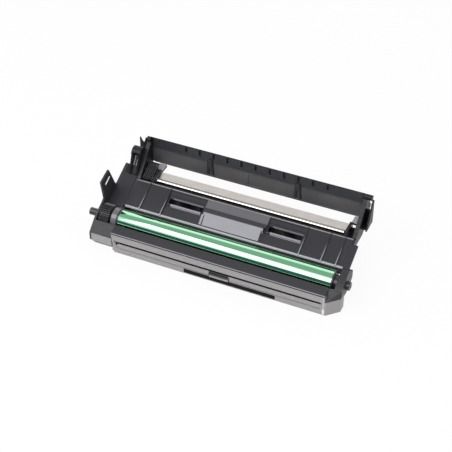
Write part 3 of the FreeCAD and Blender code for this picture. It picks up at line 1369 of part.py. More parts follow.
def make_right_frame():
    """Bearing block with the cut-off corner, inner cheek, wing and rear fin."""
    face = tray_right + 0
    slope_y = front + slope_run
    slope_z = box_end_height + slope_run * slope_pitch
    outline = prism("side", block_inner, right_end, [
        (front, box_end_height), (slope_y, slope_z),
        (drum_y + saddle_run, drum_z + saddle_rise), (drum_y + ear_foot_run, drum_z + saddle_rise),
        (lip_y, lip_z), (lip_y + skin, lip_z), (lip_y + skin, lip_z - lip_drop),
        (drum_y + ear_foot_run, drum_z - block_rear_drop),
        (box_rear, drum_z - block_rear_drop), (box_rear, box_end_height)])
    plan = prism("plan", as_measure(0), wall_top, [
        (cover_reach, front), (right_end - corner_cut, front),
        (right_end, front + corner_cut), (right_end, wall_y), (cover_reach, wall_y)])
    skin_part = slope_skin(cover_reach, right_end)
    bearing = overlap(fuse(outline, skin_part), plan)
    fin_x = right_cheek_out + fin_gap
    fin_foot = rim_y + fin_front
    fin = prism("side", fin_x, fin_x + fin_gauge, [
        (fin_foot - skin, wall_foot - skin), (fin_foot, wall_foot),
        (fin_foot + fin_depth, wall_foot + fin_height),
        (fin_foot + fin_depth + skin, wall_foot + fin_height),
        (fin_foot + fin_depth + skin, wall_foot - skin)])
    webs = [block(right_cheek_out - seat_fit, fin_x + seat_fit, fin_foot + fin_depth,
                  fin_foot + fin_depth + skin, wall_foot - skin, wall_foot + fin_height / 2),
            block(right_cheek_out - seat_fit, fin_x + seat_fit, fin_foot, fin_foot + fin_depth,
                  wall_foot - skin, wall_foot)]
    boss = rod("x", face - side_wall, wall_y - bush_boss - seat_fit, wall_top - bush_boss / 2,
               inner_cheek + side_wall + bush_boss_reach, bush_boss)
    shelf_low = wall_foot - end_pad_gauge - ledge_gauge
    solid = fuse(
        bearing, rear_cheek(face, right_cheek_out, lip_y), rear_side(face - side_wall, face),
        ledge(face - ledge_right_reach, face - side_wall / 2, shelf_low, ledge_gauge),
        wing(face, face + right_wing, lip_y, lip_y + right_wing_rear), fin, *webs, boss)
    pin = rod("x", block_inner - skin, drum_y, drum_z, right_end - block_inner + skin * 2,
              pivot_radius + seat_fit)
    ground = rod("z", right_end - ground_pin_inset, drum_y, ground_pin_low,
                 ground_pin_length + seat_fit, ground_pin_radius + seat_fit)
    return keep("right_end_frame", cut(solid, pin, ground,
                                       *screw_holes(face - skin, inner_cheek + skin * 2)))


def make_fixings():
    """Frame screws of both ends, the ground pin and the two charge springs."""
    shift = frame_screw_length
    places = [(frame_screw_y, frame_screw_z), (wall_screw_y(), wall_screw_z)]
    keep("frame_screws", group(*[
        screw("x", x, y, z, side, shift)
        for x, side in ((left_cheek_out, 1), (right_cheek_out, -1)) for y, z in places]))
    keep("ground_pin", rod("z", right_end - ground_pin_inset, drum_y, ground_pin_low,
                           ground_pin_length, ground_pin_radius))
    keep("charge_springs", group(*[charge_spring(side) for side in (-1, 1)]))


spring_radius = size("spring_radius", 1.6, "charge springs, coil radius")
spring_wire = size("spring_wire", 0.25, "charge springs, wire radius")
spring_turns = size("spring_turns", 4, "charge springs, turns")


def charge_spring(side):
    """Coil spring from the box's front wall to one charge roller bearing."""
    room = (charge_y - carrier_size / 2 - box_inner_front).value
    wire, radius = spring_wire.value, spring_radius.value
    section = [(radius - wire, -wire), (radius + wire, -wire), (radius + wire, wire), (radius - wire, wire)]
    coil = document.addObject("Part::Feature", "Coil")
    coil.Shape = helical_bar(section, (room - wire * 2) / spring_turns.value, spring_turns.value)
    middle = side * (carrier_inner.value + carrier_width.value / 2)
    coil.Placement = FreeCAD.Placement(
        Vector(middle, box_inner_front.value + wire, charge_z.value),
        ROD_TURNS["y"])
    return coil


def check_document():
    """Every object has to be up to date and every finished part a valid solid."""
    failed = [item.Name for item in document.Objects
              if "Invalid" in item.State or "Error" in item.State]
    if failed:
        raise RuntimeError(f"failed objects: {failed}")
    for item in finished_parts:
        if item.Shape.isNull() or not item.Shape.isValid() or not item.Shape.Solids:
            raise RuntimeError(f"{item.Label} has no valid solid")


def build():
    make_waste_box()
    make_front_cover()
    make_label()
    make_hood()
    make_drum()
    make_charge_roller()
    make_blade()
    make_auger()
    make_cradle()
    make_idle_roller()
    make_stay()
    make_grip()
    make_paper_guide()
    make_rear_wall()
    make_clips()
    make_left_frame()
    make_right_frame()
    make_end_pads()
    make_fixings()
    document.recompute()
    check_document()
    os.makedirs("parts", exist_ok=True)
    for item in finished_parts:
        item.Shape.exportStep(f"parts/{item.Label}.step")


build()
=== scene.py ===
import math

import bmesh
import bpy
import numpy as np
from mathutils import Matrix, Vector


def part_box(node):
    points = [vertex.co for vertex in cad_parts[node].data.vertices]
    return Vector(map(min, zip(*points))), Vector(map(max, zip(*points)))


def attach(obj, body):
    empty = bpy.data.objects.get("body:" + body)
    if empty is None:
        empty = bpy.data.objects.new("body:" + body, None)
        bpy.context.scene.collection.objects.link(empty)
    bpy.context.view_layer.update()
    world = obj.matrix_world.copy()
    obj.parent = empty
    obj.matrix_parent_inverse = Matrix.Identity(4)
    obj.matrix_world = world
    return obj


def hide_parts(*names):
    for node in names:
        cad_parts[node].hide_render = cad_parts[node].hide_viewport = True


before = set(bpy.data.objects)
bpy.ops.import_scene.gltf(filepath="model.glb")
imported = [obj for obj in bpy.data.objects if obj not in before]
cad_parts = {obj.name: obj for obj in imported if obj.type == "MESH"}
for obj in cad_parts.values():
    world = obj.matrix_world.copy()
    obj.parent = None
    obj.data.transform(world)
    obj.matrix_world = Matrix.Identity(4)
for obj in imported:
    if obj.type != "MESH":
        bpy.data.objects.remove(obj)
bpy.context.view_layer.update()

# Waste toner box
# The grey injection moulding that the spent toner falls into. It is the unit's base: the
# front cover, the hood and both end frames are fixed to it.


def paint(red, green, blue):
    """A colour as a screen shows it, 0 to 255, as the shader's linear values: the share of 255 is
    divided by 12.92 near black, and elsewhere (share + 0.055) / 1.055 is raised to 2.4."""
    shares = np.array([red, green, blue]) / 255.0
    linear = np.where(shares <= 0.04045, shares / 12.92, ((shares + 0.055) / 1.055) ** 2.4)
    return tuple(float(share) for share in linear)


def moulded_surface():
    """Shader group: fine grain height, slow tone mottle and lengthwise drag marks of the mould,
    which are noise squeezed 14 times across the object's length."""
    group = bpy.data.node_groups.new("moulded_surface", "ShaderNodeTree")
    for name, start in (("Grain Scale", 900.0), ("Mottle Scale", 28.0), ("Drag Scale", 60.0)):
        socket = group.interface.new_socket(name, in_out="INPUT", socket_type="NodeSocketFloat")
        socket.default_value = start
    for name in ("Height", "Mottle", "Drag"):
        group.interface.new_socket(name, in_out="OUTPUT", socket_type="NodeSocketFloat")
    nodes, links = group.nodes, group.links
    inputs, outputs = nodes.new("NodeGroupInput"), nodes.new("NodeGroupOutput")
    place = nodes.new("ShaderNodeTexCoord")
    squeeze = nodes.new("ShaderNodeMapping")
    squeeze.inputs["Scale"].default_value = (1.0, 14.0, 14.0)
    links.new(place.outputs["Object"], squeeze.inputs["Vector"])
    for name, scale, source, detail in (
            ("Height", "Grain Scale", place.outputs["Object"], 2.0),
            ("Mottle", "Mottle Scale", place.outputs["Object"], 4.0),
            ("Drag", "Drag Scale", squeeze.outputs["Vector"], 3.0)):
        noise = nodes.new("ShaderNodeTexNoise")
        noise.inputs["Detail"].default_value = detail
        links.new(source, noise.inputs["Vector"])
        links.new(inputs.outputs[scale], noise.inputs["Scale"])
        links.new(noise.outputs["Fac"], outputs.inputs[name])
    return group


surface_group = moulded_surface()


def finish_of(name, dark, light, roughness, metallic=0.0, relief=0.15, coat=0.0,
              grain=900.0, mottle=28.0, drag=60.0, specular=0.5, coat_roughness=0.03):
    """Material whose tone drifts between two colours with the mottle; its roughness follows the
    drag marks, from a fifth under to a fifth over the value given."""
    material = bpy.data.materials.new(name)
    material.use_nodes = True
    nodes, links = material.node_tree.nodes, material.node_tree.links
    shader = nodes["Principled BSDF"]
    shader.inputs["Metallic"].default_value = metallic
    shader.inputs["Coat Weight"].default_value = coat
    shader.inputs["Coat Roughness"].default_value = coat_roughness
    shader.inputs["Specular IOR Level"].default_value = specular
    surface = nodes.new("ShaderNodeGroup")
    surface.node_tree = surface_group
    surface.inputs["Grain Scale"].default_value = grain
    surface.inputs["Mottle Scale"].default_value = mottle
    surface.inputs["Drag Scale"].default_value = drag
    tone = nodes.new("ShaderNodeMix")
    tone.data_type = "RGBA"
    tone.inputs["A"].default_value = (*dark, 1.0)
    tone.inputs["B"].default_value = (*light, 1.0)
    links.new(surface.outputs["Mottle"], tone.inputs["Factor"])
    links.new(tone.outputs["Result"], shader.inputs["Base Color"])
    gloss = nodes.new("ShaderNodeMapRange")
    gloss.inputs["From Min"].default_value = 0.3
    gloss.inputs["From Max"].default_value = 0.7
    gloss.inputs["To Min"].default_value = roughness * 0.8
    gloss.inputs["To Max"].default_value = roughness * 1.2
    links.new(surface.outputs["Drag"], gloss.inputs["Value"])
    links.new(gloss.outputs["Result"], shader.inputs["Roughness"])
    bump = nodes.new("ShaderNodeBump")
    bump.inputs["Strength"].default_value = relief
    bump.inputs["Distance"].default_value = 0.0002
    links.new(surface.outputs["Height"], bump.inputs["Height"])
    links.new(bump.outputs["Normal"], shader.inputs["Normal"])
    return material


def solid_copy(node):
    """Mesh of a node's own solids, with doubles joined and the facets of flat faces dissolved."""
    mesh = bpy.data.meshes.new(node)
    shape = bmesh.new()
    shape.from_mesh(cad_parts[node].data)
    bmesh.ops.remove_doubles(shape, verts=shape.verts, dist=1e-6)
    bmesh.ops.dissolve_limit(shape, angle_limit=math.radians(1.0), verts=shape.verts, edges=shape.edges)
    shape.to_mesh(mesh)
    shape.free()
    mesh.materials.clear()
    return mesh


def fit(mesh, name, body, material, edge=0.00025, segments=2, instead_of=()):
    """Put a mesh into the scene on its body: smooth between sharp edges, which are eased."""
    sharp = math.radians(32.0)
    mesh.shade_smooth()
    mesh.set_sharp_from_angle(angle=sharp)
    mesh.materials.append(material)
    piece = bpy.data.objects.new(name, mesh)
    bpy.context.scene.collection.objects.link(piece)
    if edge:
        eased = piece.modifiers.new("eased edges", "BEVEL")
        eased.width = edge
        eased.segments = segments
        eased.limit_method = "ANGLE"
        eased.angle_limit = sharp
        eased.use_clamp_overlap = True
        flat = piece.modifiers.new("flat faces stay flat", "WEIGHTED_NORMAL")
        flat.weight = 60
        flat.keep_sharp = True
    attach(piece, body)
    if instead_of:
        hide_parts(*instead_of)


def moulding(node, body, material, edge=0.00025, segments=2):
    """A node's solid with eased edges in its own material."""
    fit(solid_copy(node), node + "_moulding", body, material,
        edge=edge, segments=segments, instead_of=(node,))


zone_axes = ("X", "Y", "Z", "Rise")


def painted_zone_group():
    """Shader group: a second colour over the first where X, Y, Z and the rise all lie between
    their limits. The rise is the dot product of the object coordinates and the rise vector. The
    margin inside two limits is the lesser of value minus low and high minus value, and the share
    of the second colour grows from none to all as the margin goes from minus to plus 0.2 mm."""
    group = bpy.data.node_groups.new("painted_zone", "ShaderNodeTree")
    soft, far_off = 0.0002, 10.0
    sockets = [("Under", "NodeSocketColor", (1.0, 1.0, 1.0, 1.0)),
               ("Paint", "NodeSocketColor", (0.0, 0.0, 0.0, 1.0)),
               ("Rise Vector", "NodeSocketVector", (0.0, 0.0, 1.0))]
    for axis in zone_axes:
        sockets.append(("Low " + axis, "NodeSocketFloat", -far_off))
        sockets.append(("High " + axis, "NodeSocketFloat", far_off))
    for name, kind, start in sockets:
        socket = group.interface.new_socket(name, in_out="INPUT", socket_type=kind)
        socket.default_value = start
    group.interface.new_socket("Colour", in_out="OUTPUT", socket_type="NodeSocketColor")
    nodes, links = group.nodes, group.links
    inputs, outputs = nodes.new("NodeGroupInput"), nodes.new("NodeGroupOutput")

    def worked(operation, first, second):
        """Socket that carries the result of a sum with two values."""
        node = nodes.new("ShaderNodeMath")
        node.operation = operation
        links.new(first, node.inputs[0])
        links.new(second, node.inputs[1])
        return node.outputs[0]

    place, split = nodes.new("ShaderNodeTexCoord"), nodes.new("ShaderNodeSeparateXYZ")
    risen = nodes.new("ShaderNodeVectorMath")
    risen.operation = "DOT_PRODUCT"
    links.new(place.outputs["Object"], split.inputs[0])
    links.new(place.outputs["Object"], risen.inputs[0])
    links.new(inputs.outputs["Rise Vector"], risen.inputs[1])
    share = None
    for axis in zone_axes:
        value = risen.outputs["Value"] if axis == "Rise" else split.outputs[axis]
        over_low = worked("SUBTRACT", value, inputs.outputs["Low " + axis])
        under_high = worked("SUBTRACT", inputs.outputs["High " + axis], value)
        limit = nodes.new("ShaderNodeMapRange")
        limit.inputs["From Min"].default_value = -soft
        limit.inputs["From Max"].default_value = soft
        links.new(worked("MINIMUM", over_low, under_high), limit.inputs["Value"])
        mask = limit.outputs["Result"]
        share = mask if share is None else worked("MULTIPLY", share, mask)
    mix = nodes.new("ShaderNodeMix")
    mix.data_type = "RGBA"
    links.new(share, mix.inputs["Factor"])
    links.new(inputs.outputs["Under"], mix.inputs["A"])
    links.new(inputs.outputs["Paint"], mix.inputs["B"])
    links.new(mix.outputs["Result"], outputs.inputs["Colour"])
    return group


zone_group = painted_zone_group()


def painted_zone(material, ranges, colour, rise=(0.0, 0.0, 1.0)):
    """Lay a colour over what the ranges enclose: X, Y and Z are object coordinates, and Rise is
    how far a point lies along the rise vector, so that it can follow a sloping face."""
    nodes, links = material.node_tree.nodes, material.node_tree.links
    base = nodes["Principled BSDF"].inputs["Base Color"]
    zone = nodes.new("ShaderNodeGroup")
    zone.node_tree = zone_group
    zone.inputs["Paint"].default_value = (*colour, 1.0)
    zone.inputs["Rise Vector"].default_value = rise
    for axis, (low, high) in ranges.items():
        zone.inputs["Low " + axis].default_value = low
        zone.inputs["High " + axis].default_value = high
    links.new(base.links[0].from_socket, zone.inputs["Under"])
    links.new(zone.outputs["Colour"], base)


# Painted shade for the inside of the front slot.
slot_painted_shade = paint(34, 33, 37)
slot_along, slot_heights = (-0.1185, 0.1185), (0.0090, 0.0166)
box_plastic = finish_of("grey moulded plastic", paint(150, 146, 147), paint(160, 156, 157), 0.42)
# Painted shade in the front wall's pocket behind the cover's slot.
shade_behind_slot = {"X": slot_along, "Y": (-0.0100, -0.0040), "Z": slot_heights}
painted_zone(box_plastic, shade_behind_slot, slot_painted_shade)
moulding("waste_toner_box", "housing", box_plastic)

# Waste auger and its gear
# A natural acetal screw in the bottom of the box. It turns with the drum through a small
# spur gear and carries the scraped toner to the left end.


def finished(mesh):
    """Join doubled points, drop what has no area and turn every face outwards."""
    shape = bmesh.new()
    shape.from_mesh(mesh)
    bmesh.ops.remove_doubles(shape, verts=shape.verts, dist=1e-8)
    bmesh.ops.dissolve_degenerate(shape, edges=shape.edges, dist=1e-8)
    bmesh.ops.recalc_face_normals(shape, faces=shape.faces)
    shape.to_mesh(mesh)
    shape.free()
    return mesh


def grid_mesh(name, points):
    """A quad between every four neighbours of a (rows, columns, 3) grid of points, whose last
    column joins its first."""
    rows, columns = points.shape[:2]
    number = np.arange(rows * columns).reshape(rows, columns)
    beside = np.roll(number, -1, axis=1)
    quads = np.stack([number[:-1], number[1:], beside[1:], beside[:-1]], axis=-1)
    mesh = bpy.data.meshes.new(name)
    mesh.from_pydata(points.reshape(-1, 3).tolist(), [], quads.reshape(-1, 4).tolist())
    return mesh


def turned(name, outline, axis, around=96):
    """Lathe surface: every (x, radius) point of the outline is carried round a line along X
    through axis (y, z). An outline that starts and ends on the line gives a solid piece, and
    one that comes back to its first point gives a tube."""
    x, radius = np.array(outline, float).T
    angle = np.linspace(0.0, 2.0 * np.pi, around, endpoint=False)
    y = axis[0] + radius[:, None] * np.cos(angle)
    z = axis[1] + radius[:, None] * np.sin(angle)
    points = np.stack([np.broadcast_to(x[:, None], y.shape), y, z], axis=-1)
    return finished(grid_mesh(name, points))


def helical(name, start, axis, side, section, pitch, turns, per_turn=40):
    """Screw surface: the section's points, given as (radius, advance), are turned round the axis
    while they advance by one pitch each turn; both ends shrink to a point that closes them."""
    radius, advance = np.array(section, float).T
    steps = np.linspace(0.0, turns, int(turns * per_turn) + 1)
    steps = np.concatenate([steps[:1], steps, steps[-1:]])
    radius = np.broadcast_to(radius, (len(steps), len(radius))).copy()
    advance = np.broadcast_to(advance, radius.shape).copy()
    for row in (0, -1):
        radius[row], advance[row] = radius[row].mean(), advance[row].mean()
    angle = 2.0 * np.pi * steps[:, None]
    straight = advance + pitch * steps[:, None]
    points = (np.array(start, float) + straight[..., None] * np.array(axis)
              + (radius * np.cos(angle))[..., None] * np.array(side)
              + (radius * np.sin(angle))[..., None] * np.cross(axis, side))
    return finished(grid_mesh(name, points))


def joined(name, meshes):
    """Several meshes as one."""
    shape = bmesh.new()
    for mesh in meshes:
        shape.from_mesh(mesh)
    whole = bpy.data.meshes.new(name)
    shape.to_mesh(whole)
    shape.free()
    return whole


def span(node):
    """Both ends along X of a piece that is round about X, and its axis (y, z), which is the
    middle of its box."""
    low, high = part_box(node)
    return low.x, high.x, ((low.y + high.y) / 2, (low.z + high.z) / 2)


natural_acetal = finish_of("natural acetal", paint(168, 166, 166), paint(186, 183, 181), 0.3)
auger_left, auger_right, auger_axis = span("waste_auger")
journal_radius, auger_core_radius, auger_core_end = 0.0020, 0.0018, 0.1208
auger_core = turned("auger_core", [
    (auger_left, 0.0), (auger_left, journal_radius), (-auger_core_end, journal_radius),
    (-auger_core_end, auger_core_radius), (auger_core_end, auger_core_radius),
    (auger_core_end, journal_radius), (auger_right, journal_radius), (auger_right, 0.0)],
    auger_axis, around=32)
flight_start, flight_pitch, flight_turns = -0.110, 0.022, 10
flight_root, half_root, flight_rim, half_rim = 0.0012, 0.0006, 0.0029, 0.0004
flight_section = [(flight_root, -half_root), (flight_rim, -half_rim),
                  (flight_rim, half_rim), (flight_root, half_root)]
flight = helical("auger_flight", (flight_start, *auger_axis), (1.0, 0.0, 0.0), (0.0, 1.0, 0.0),
                 flight_section, flight_pitch, flight_turns)
fit(joined("waste_auger_screw", [auger_core, flight]), "waste_auger_screw", "auger",
    natural_acetal, edge=0.00008, segments=1, instead_of=("waste_auger",))
moulding("auger_gear", "auger", natural_acetal, edge=0.00008, segments=1)

# Charge roller, its bearings and springs
# A steel core in a soft conductive sleeve turns against the drum. Its two acetal bearings
# slide in the box and are pushed back by coil springs.


def rod(left, right, radius, chamfer):
    """Outline of a solid rod that is chamfered at both ends."""
    return [(left, 0.0), (left, radius - chamfer), (left + chamfer, radius),
            (right - chamfer, radius), (right, radius - chamfer), (right, 0.0)]


def tube(left, right, bore, radius, along, inward):
    """Outline of a tube whose outer edges are bevelled over a length along it and a depth."""
    return [(left, bore), (left, radius - inward), (left + along, radius), (right - along, radius),
            (right, radius - inward), (right, bore), (left, bore)]


def lathed(name, outline, axis, body, material, around=96, instead_of=()):
    """A turned piece, in its place, with its edges as the outline has them."""
    fit(turned(name, outline, axis, around), name, body, material, edge=0, instead_of=instead_of)


polished_steel = finish_of("polished steel", paint(205, 200, 194), paint(222, 217, 210), 0.13,
                           metallic=1.0, relief=0.0, drag=120.0)
soft_rubber = finish_of("conductive rubber", paint(34, 34, 35), paint(44, 44, 45), 0.65, grain=1500.0)
sleeve_left, sleeve_right, roller_axis = span("charge_roller_sleeve")
shaft_left, shaft_right = span("charge_roller_core")[:2]
shaft_radius, shaft_chamfer = 0.0025, 0.0003
sleeve_bore, sleeve_radius, sleeve_chamfer = 0.00255, 0.0040, 0.0004
lathed("charge_roller_shaft", rod(shaft_left, shaft_right, shaft_radius, shaft_chamfer), roller_axis,
       "charge_roller", polished_steel, 48, instead_of=("charge_roller_core",))
lathed("charge_roller_rubber",
       tube(sleeve_left, sleeve_right, sleeve_bore, sleeve_radius, sleeve_chamfer, sleeve_chamfer),
       roller_axis, "charge_roller", soft_rubber, 64,
       instead_of=("charge_roller_sleeve",))
for bearing in ("left_charge_bearing", "right_charge_bearing"):
    moulding(bearing, "housing", natural_acetal, edge=0.00015)

spring_low, spring_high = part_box("charge_springs")
coil_radius, wire_radius, coil_turns = 0.0016, 0.00025, 4
spring_radius = coil_radius + wire_radius
wire_angle = np.linspace(0.0, 2.0 * np.pi, 10, endpoint=False)
wire_section = np.stack([coil_radius + wire_radius * np.cos(wire_angle),
                         wire_radius * np.sin(wire_angle)], axis=-1)
coil_pitch = (spring_high.y - spring_low.y - 2.0 * wire_radius) / coil_turns
spring_z = (spring_low.z + spring_high.z) / 2
coils = [helical("charge_spring", (x, spring_low.y + wire_radius, spring_z), (0.0, 1.0, 0.0),
                 (0.0, 0.0, 1.0), wire_section, coil_pitch, coil_turns, per_turn=32)
         for x in (spring_low.x + spring_radius, spring_high.x - spring_radius)]
fit(joined("charge_spring_coils", coils), "charge_spring_coils", "housing",
    polished_steel, edge=0, instead_of=("charge_springs",))

# Cleaning blade, its bracket and the recovery film
# A urethane blade is bonded under a folded steel bracket, which two pan-head screws hold in
# the box. A strip of polyester film closes the box's rear edge against the drum.

head_radius, head_rise, shank_radius = 0.0023, 0.0014, 0.0013


def pan_head_screw(name, seat, along, length):
    """Screw round the line through seat along `along`. Its head's height falls off with the cube
    of the radius, and a cross with soft edges is sunk into it. The shank's radius rises and
    falls once a pitch, shifted by one pitch each turn."""
    thread_pitch, thread_step = 0.0006, 0.0001
    arm_half_width, arm_half_length, cross_depth = 0.0004, 0.0014, 0.0008
    side_slope, end_slope = 0.00015, 0.0004
    turns = np.linspace(0.0, 2.0 * np.pi, 64, endpoint=False)
    crown = np.linspace(0.0, 1.0, 22)
    thread = np.linspace(0.0, 1.0, int(length / thread_step))
    radius = np.concatenate([head_radius * crown, [head_radius, shank_radius * 0.9],
                             np.full(len(thread), shank_radius), [0.0]])
    dome = head_rise * (1.0 - 0.45 * crown ** 3)
    depth = np.concatenate([-dome, [0.0, 0.0], thread * length, [length]])
    radius = np.broadcast_to(radius[:, None], (len(radius), len(turns))).copy()
    depth = np.broadcast_to(depth[:, None], radius.shape).copy()
    across, up = radius * np.cos(turns), radius * np.sin(turns)

    def arm(lengthwise, sideways):
        """One arm of the cross: one inside it, and less along a straight slope at its edges."""
        wide = np.clip((arm_half_width - np.abs(sideways)) / side_slope, 0, 1)
        return wide * np.clip((arm_half_length - np.abs(lengthwise)) / end_slope, 0, 1)

    on_crown = (np.arange(len(radius)) < len(crown))[:, None]
    depth += cross_depth * np.maximum(arm(across, up), arm(up, across)) * on_crown
    threaded = slice(len(crown) + 2, len(crown) + 2 + len(thread))
    turned_share = turns / (2.0 * np.pi)
    wave = np.abs(((depth[threaded] / thread_pitch - turned_share) % 1.0) - 0.5) * 2.0
    radius[threaded] *= 0.86 + 0.13 * wave
    along = np.array(along, float)
    side = np.array([0.0, 0.0, 1.0]) if abs(along[2]) < 0.5 else np.array([1.0, 0.0, 0.0])
    points = (np.array(seat, float) + depth[..., None] * along
              + (radius * np.cos(turns))[..., None] * side
              + (radius * np.sin(turns))[..., None] * np.cross(along, side))
    return finished(grid_mesh(name, points))


sheet_steel = finish_of("zinc plated sheet", paint(176, 172, 166), paint(196, 191, 184), 0.34,
                        metallic=1.0, relief=0.05, drag=90.0)
screw_steel = finish_of("screw steel", paint(150, 148, 144), paint(172, 169, 163), 0.28, metallic=1.0,
                        relief=0.05)
urethane = finish_of("urethane", paint(174, 142, 82), paint(190, 156, 96), 0.35)
polyester = finish_of("polyester film", paint(176, 176, 178), paint(196, 196, 198), 0.2)
moulding("blade_bracket", "housing", sheet_steel, edge=0.0002)
moulding("cleaning_blade", "housing", urethane, edge=0.0001)
moulding("recovery_film", "housing", polyester, edge=0)
blade_low, blade_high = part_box("blade_screws")
blade_seat_y, blade_seat_z = blade_high.y - head_rise, (blade_low.z + blade_high.z) / 2
blade_screws = [pan_head_screw("blade_screw", (x, blade_seat_y, blade_seat_z), (0.0, -1.0, 0.0),
                               blade_seat_y - blade_low.y)
                for x in (blade_low.x + head_radius, blade_high.x - head_radius)]
fit(joined("blade_screw_pair", blade_screws), "blade_screw_pair", "housing",
    screw_steel, edge=0, instead_of=("blade_screws",))

# Front cover and label
# A grey plate welded over the front of the box. A long slot runs along the top of its shallow
# recess, a latch tab is cut into it, and a bare strip of dark film lies on its lower rail.

cover_plastic = finish_of("grey cover plastic", paint(150, 146, 147), paint(160, 156, 157), 0.42)
cover_right = span("waste_box_front_cover")[1]
end_face = (cover_right - 0.0022, cover_right + 0.0010)
shade_in_slot = {"X": slot_along, "Y": (-0.0090, -0.0040), "Z": slot_heights}
rail_step_shade = {"X": slot_along, "Y": (-0.0110, -0.0088), "Z": (0.0067, 0.0076)}
tab_shadow = {"X": (-0.0068, 0.0158), "Z": (0.0086, 0.0135)}
tab_edge_highlight = {"X": (-0.0058, 0.0140), "Z": (0.0063, 0.0084)}
end_face_highlight = {"X": end_face, "Z": (0.0075, 0.0235)}
end_of_rail_highlight = {"X": end_face, "Z": (0.0010, 0.0075)}
# Painted shade inside the cover's slot.
painted_zone(cover_plastic, shade_in_slot, slot_painted_shade)
# A painted line of shade along the recess's lower step.
painted_zone(cover_plastic, rail_step_shade, paint(118, 115, 117))
painted_zone(cover_plastic, tab_shadow, paint(58, 57, 61))
# A painted highlight along the latch tab's lower edge.
painted_zone(cover_plastic, tab_edge_highlight, paint(164, 161, 167))
# Painted highlights on the cover's right end face, brightest on the lower rail.
painted_zone(cover_plastic, end_face_highlight, paint(178, 175, 176))
painted_zone(cover_plastic, end_of_rail_highlight, paint(236, 234, 234))
moulding("waste_box_front_cover", "housing", cover_plastic, edge=0.0002)
label_film = finish_of("dark label film", paint(18, 16, 12), paint(24, 21, 17), 0.5, specular=0.1)
moulding("front_label", "housing", label_film, edge=0.00004, segments=1)

# Hood
# A black plate over the charge roller, clipped between the end frames in front of the drum.

hood_plastic = finish_of("black hood plastic", paint(45, 44, 49), paint(53, 52, 57), 0.36, relief=0.03)
hood_lip_highlight = {"Y": (-0.0110, -0.0096), "Z": (0.0249, 0.0270)}
under_lip_shade = {"Y": (-0.0110, -0.0103), "Z": (0.0230, 0.0249)}
# A painted highlight along the hood's front lip.
painted_zone(hood_plastic, hood_lip_highlight, paint(146, 145, 151))
# Painted shade on the hood's front face under the lip.
painted_zone(hood_plastic, under_lip_shade, paint(30, 29, 34))
moulding("front_hood", "housing", hood_plastic, edge=0.0004, segments=3)

# Drum
# A drawn aluminium tube with a green charge layer that stops short of its ends. A black gear
# flange with the drive journal is pressed into its left end, a plain flange into its right.

bare_aluminium = finish_of("turned aluminium", paint(196, 197, 199), paint(212, 213, 215), 0.22,
                           metallic=1.0, relief=0.04, drag=200.0)
charge_layer = finish_of("green charge layer", paint(152, 218, 172), paint(160, 226, 182), 0.05,
                         metallic=1.0, relief=0.0, coat=1.0, mottle=6.0, drag=20.0)
black_acetal = finish_of("black acetal", paint(34, 34, 38), paint(42, 42, 46), 0.34, coat=0.35,
                         coat_roughness=0.16)
tube_low, tube_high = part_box("drum_tube")
tube_left, tube_right, drum_axis = span("drum_tube")
drum_radius, drum_bore = (tube_high.z - tube_low.z) / 2, 0.01125
layer_thickness, layer_margin, layer_sunk, layer_taper = 0.00006, 0.0003, 0.00016, 0.00015
metal_radius, bore_ease, rim_ease, rim_fall = drum_radius - layer_thickness, 0.0001, 0.0002, 0.0003
lathed("drum_aluminium", [
    (tube_left, drum_bore + bore_ease), (tube_left, drum_radius - rim_fall),
    (tube_left + rim_ease, metal_radius), (tube_right - rim_ease, metal_radius),
    (tube_right, drum_radius - rim_fall), (tube_right, drum_bore + bore_ease),
    (tube_right - bore_ease, drum_bore), (tube_left + bore_ease, drum_bore),
    (tube_left, drum_bore + bore_ease)],
    drum_axis, "drum", bare_aluminium, 160, instead_of=("drum_tube",))
lathed("drum_charge_layer",
       tube(tube_left + layer_margin, tube_right - layer_margin, drum_radius - layer_sunk, drum_radius,
            layer_taper, layer_thickness),
       drum_axis, "drum", charge_layer, 160)
moulding("drum_gear_flange", "drum", black_acetal, edge=0.00012)
plain_left, plain_right = span("drum_plain_flange")[:2]
plain_bore, spigot_radius, collar_radius, neck_radius = 0.00305, 0.0112, 0.0120, 0.0080
collar_right, plain_ease = tube_right + 0.0015, 0.0003
lathed("plain_flange", [
    (plain_left, plain_bore), (plain_left, spigot_radius - plain_ease),
    (plain_left + plain_ease, spigot_radius), (tube_right, spigot_radius),
    (tube_right, collar_radius - plain_ease), (tube_right + plain_ease, collar_radius),
    (collar_right - plain_ease, collar_radius), (collar_right, collar_radius - plain_ease),
    (collar_right, neck_radius), (plain_right - plain_ease, neck_radius),
    (plain_right, neck_radius - plain_ease), (plain_right, plain_bore), (plain_left, plain_bore)],
    drum_axis, "drum", black_acetal, instead_of=("drum_plain_flange",))

# Drum bearings
# A grey acetal ring round the gear flange's neck lies in the left frame's open saddle. At the
# right a black pin through the end frame locates the drum.

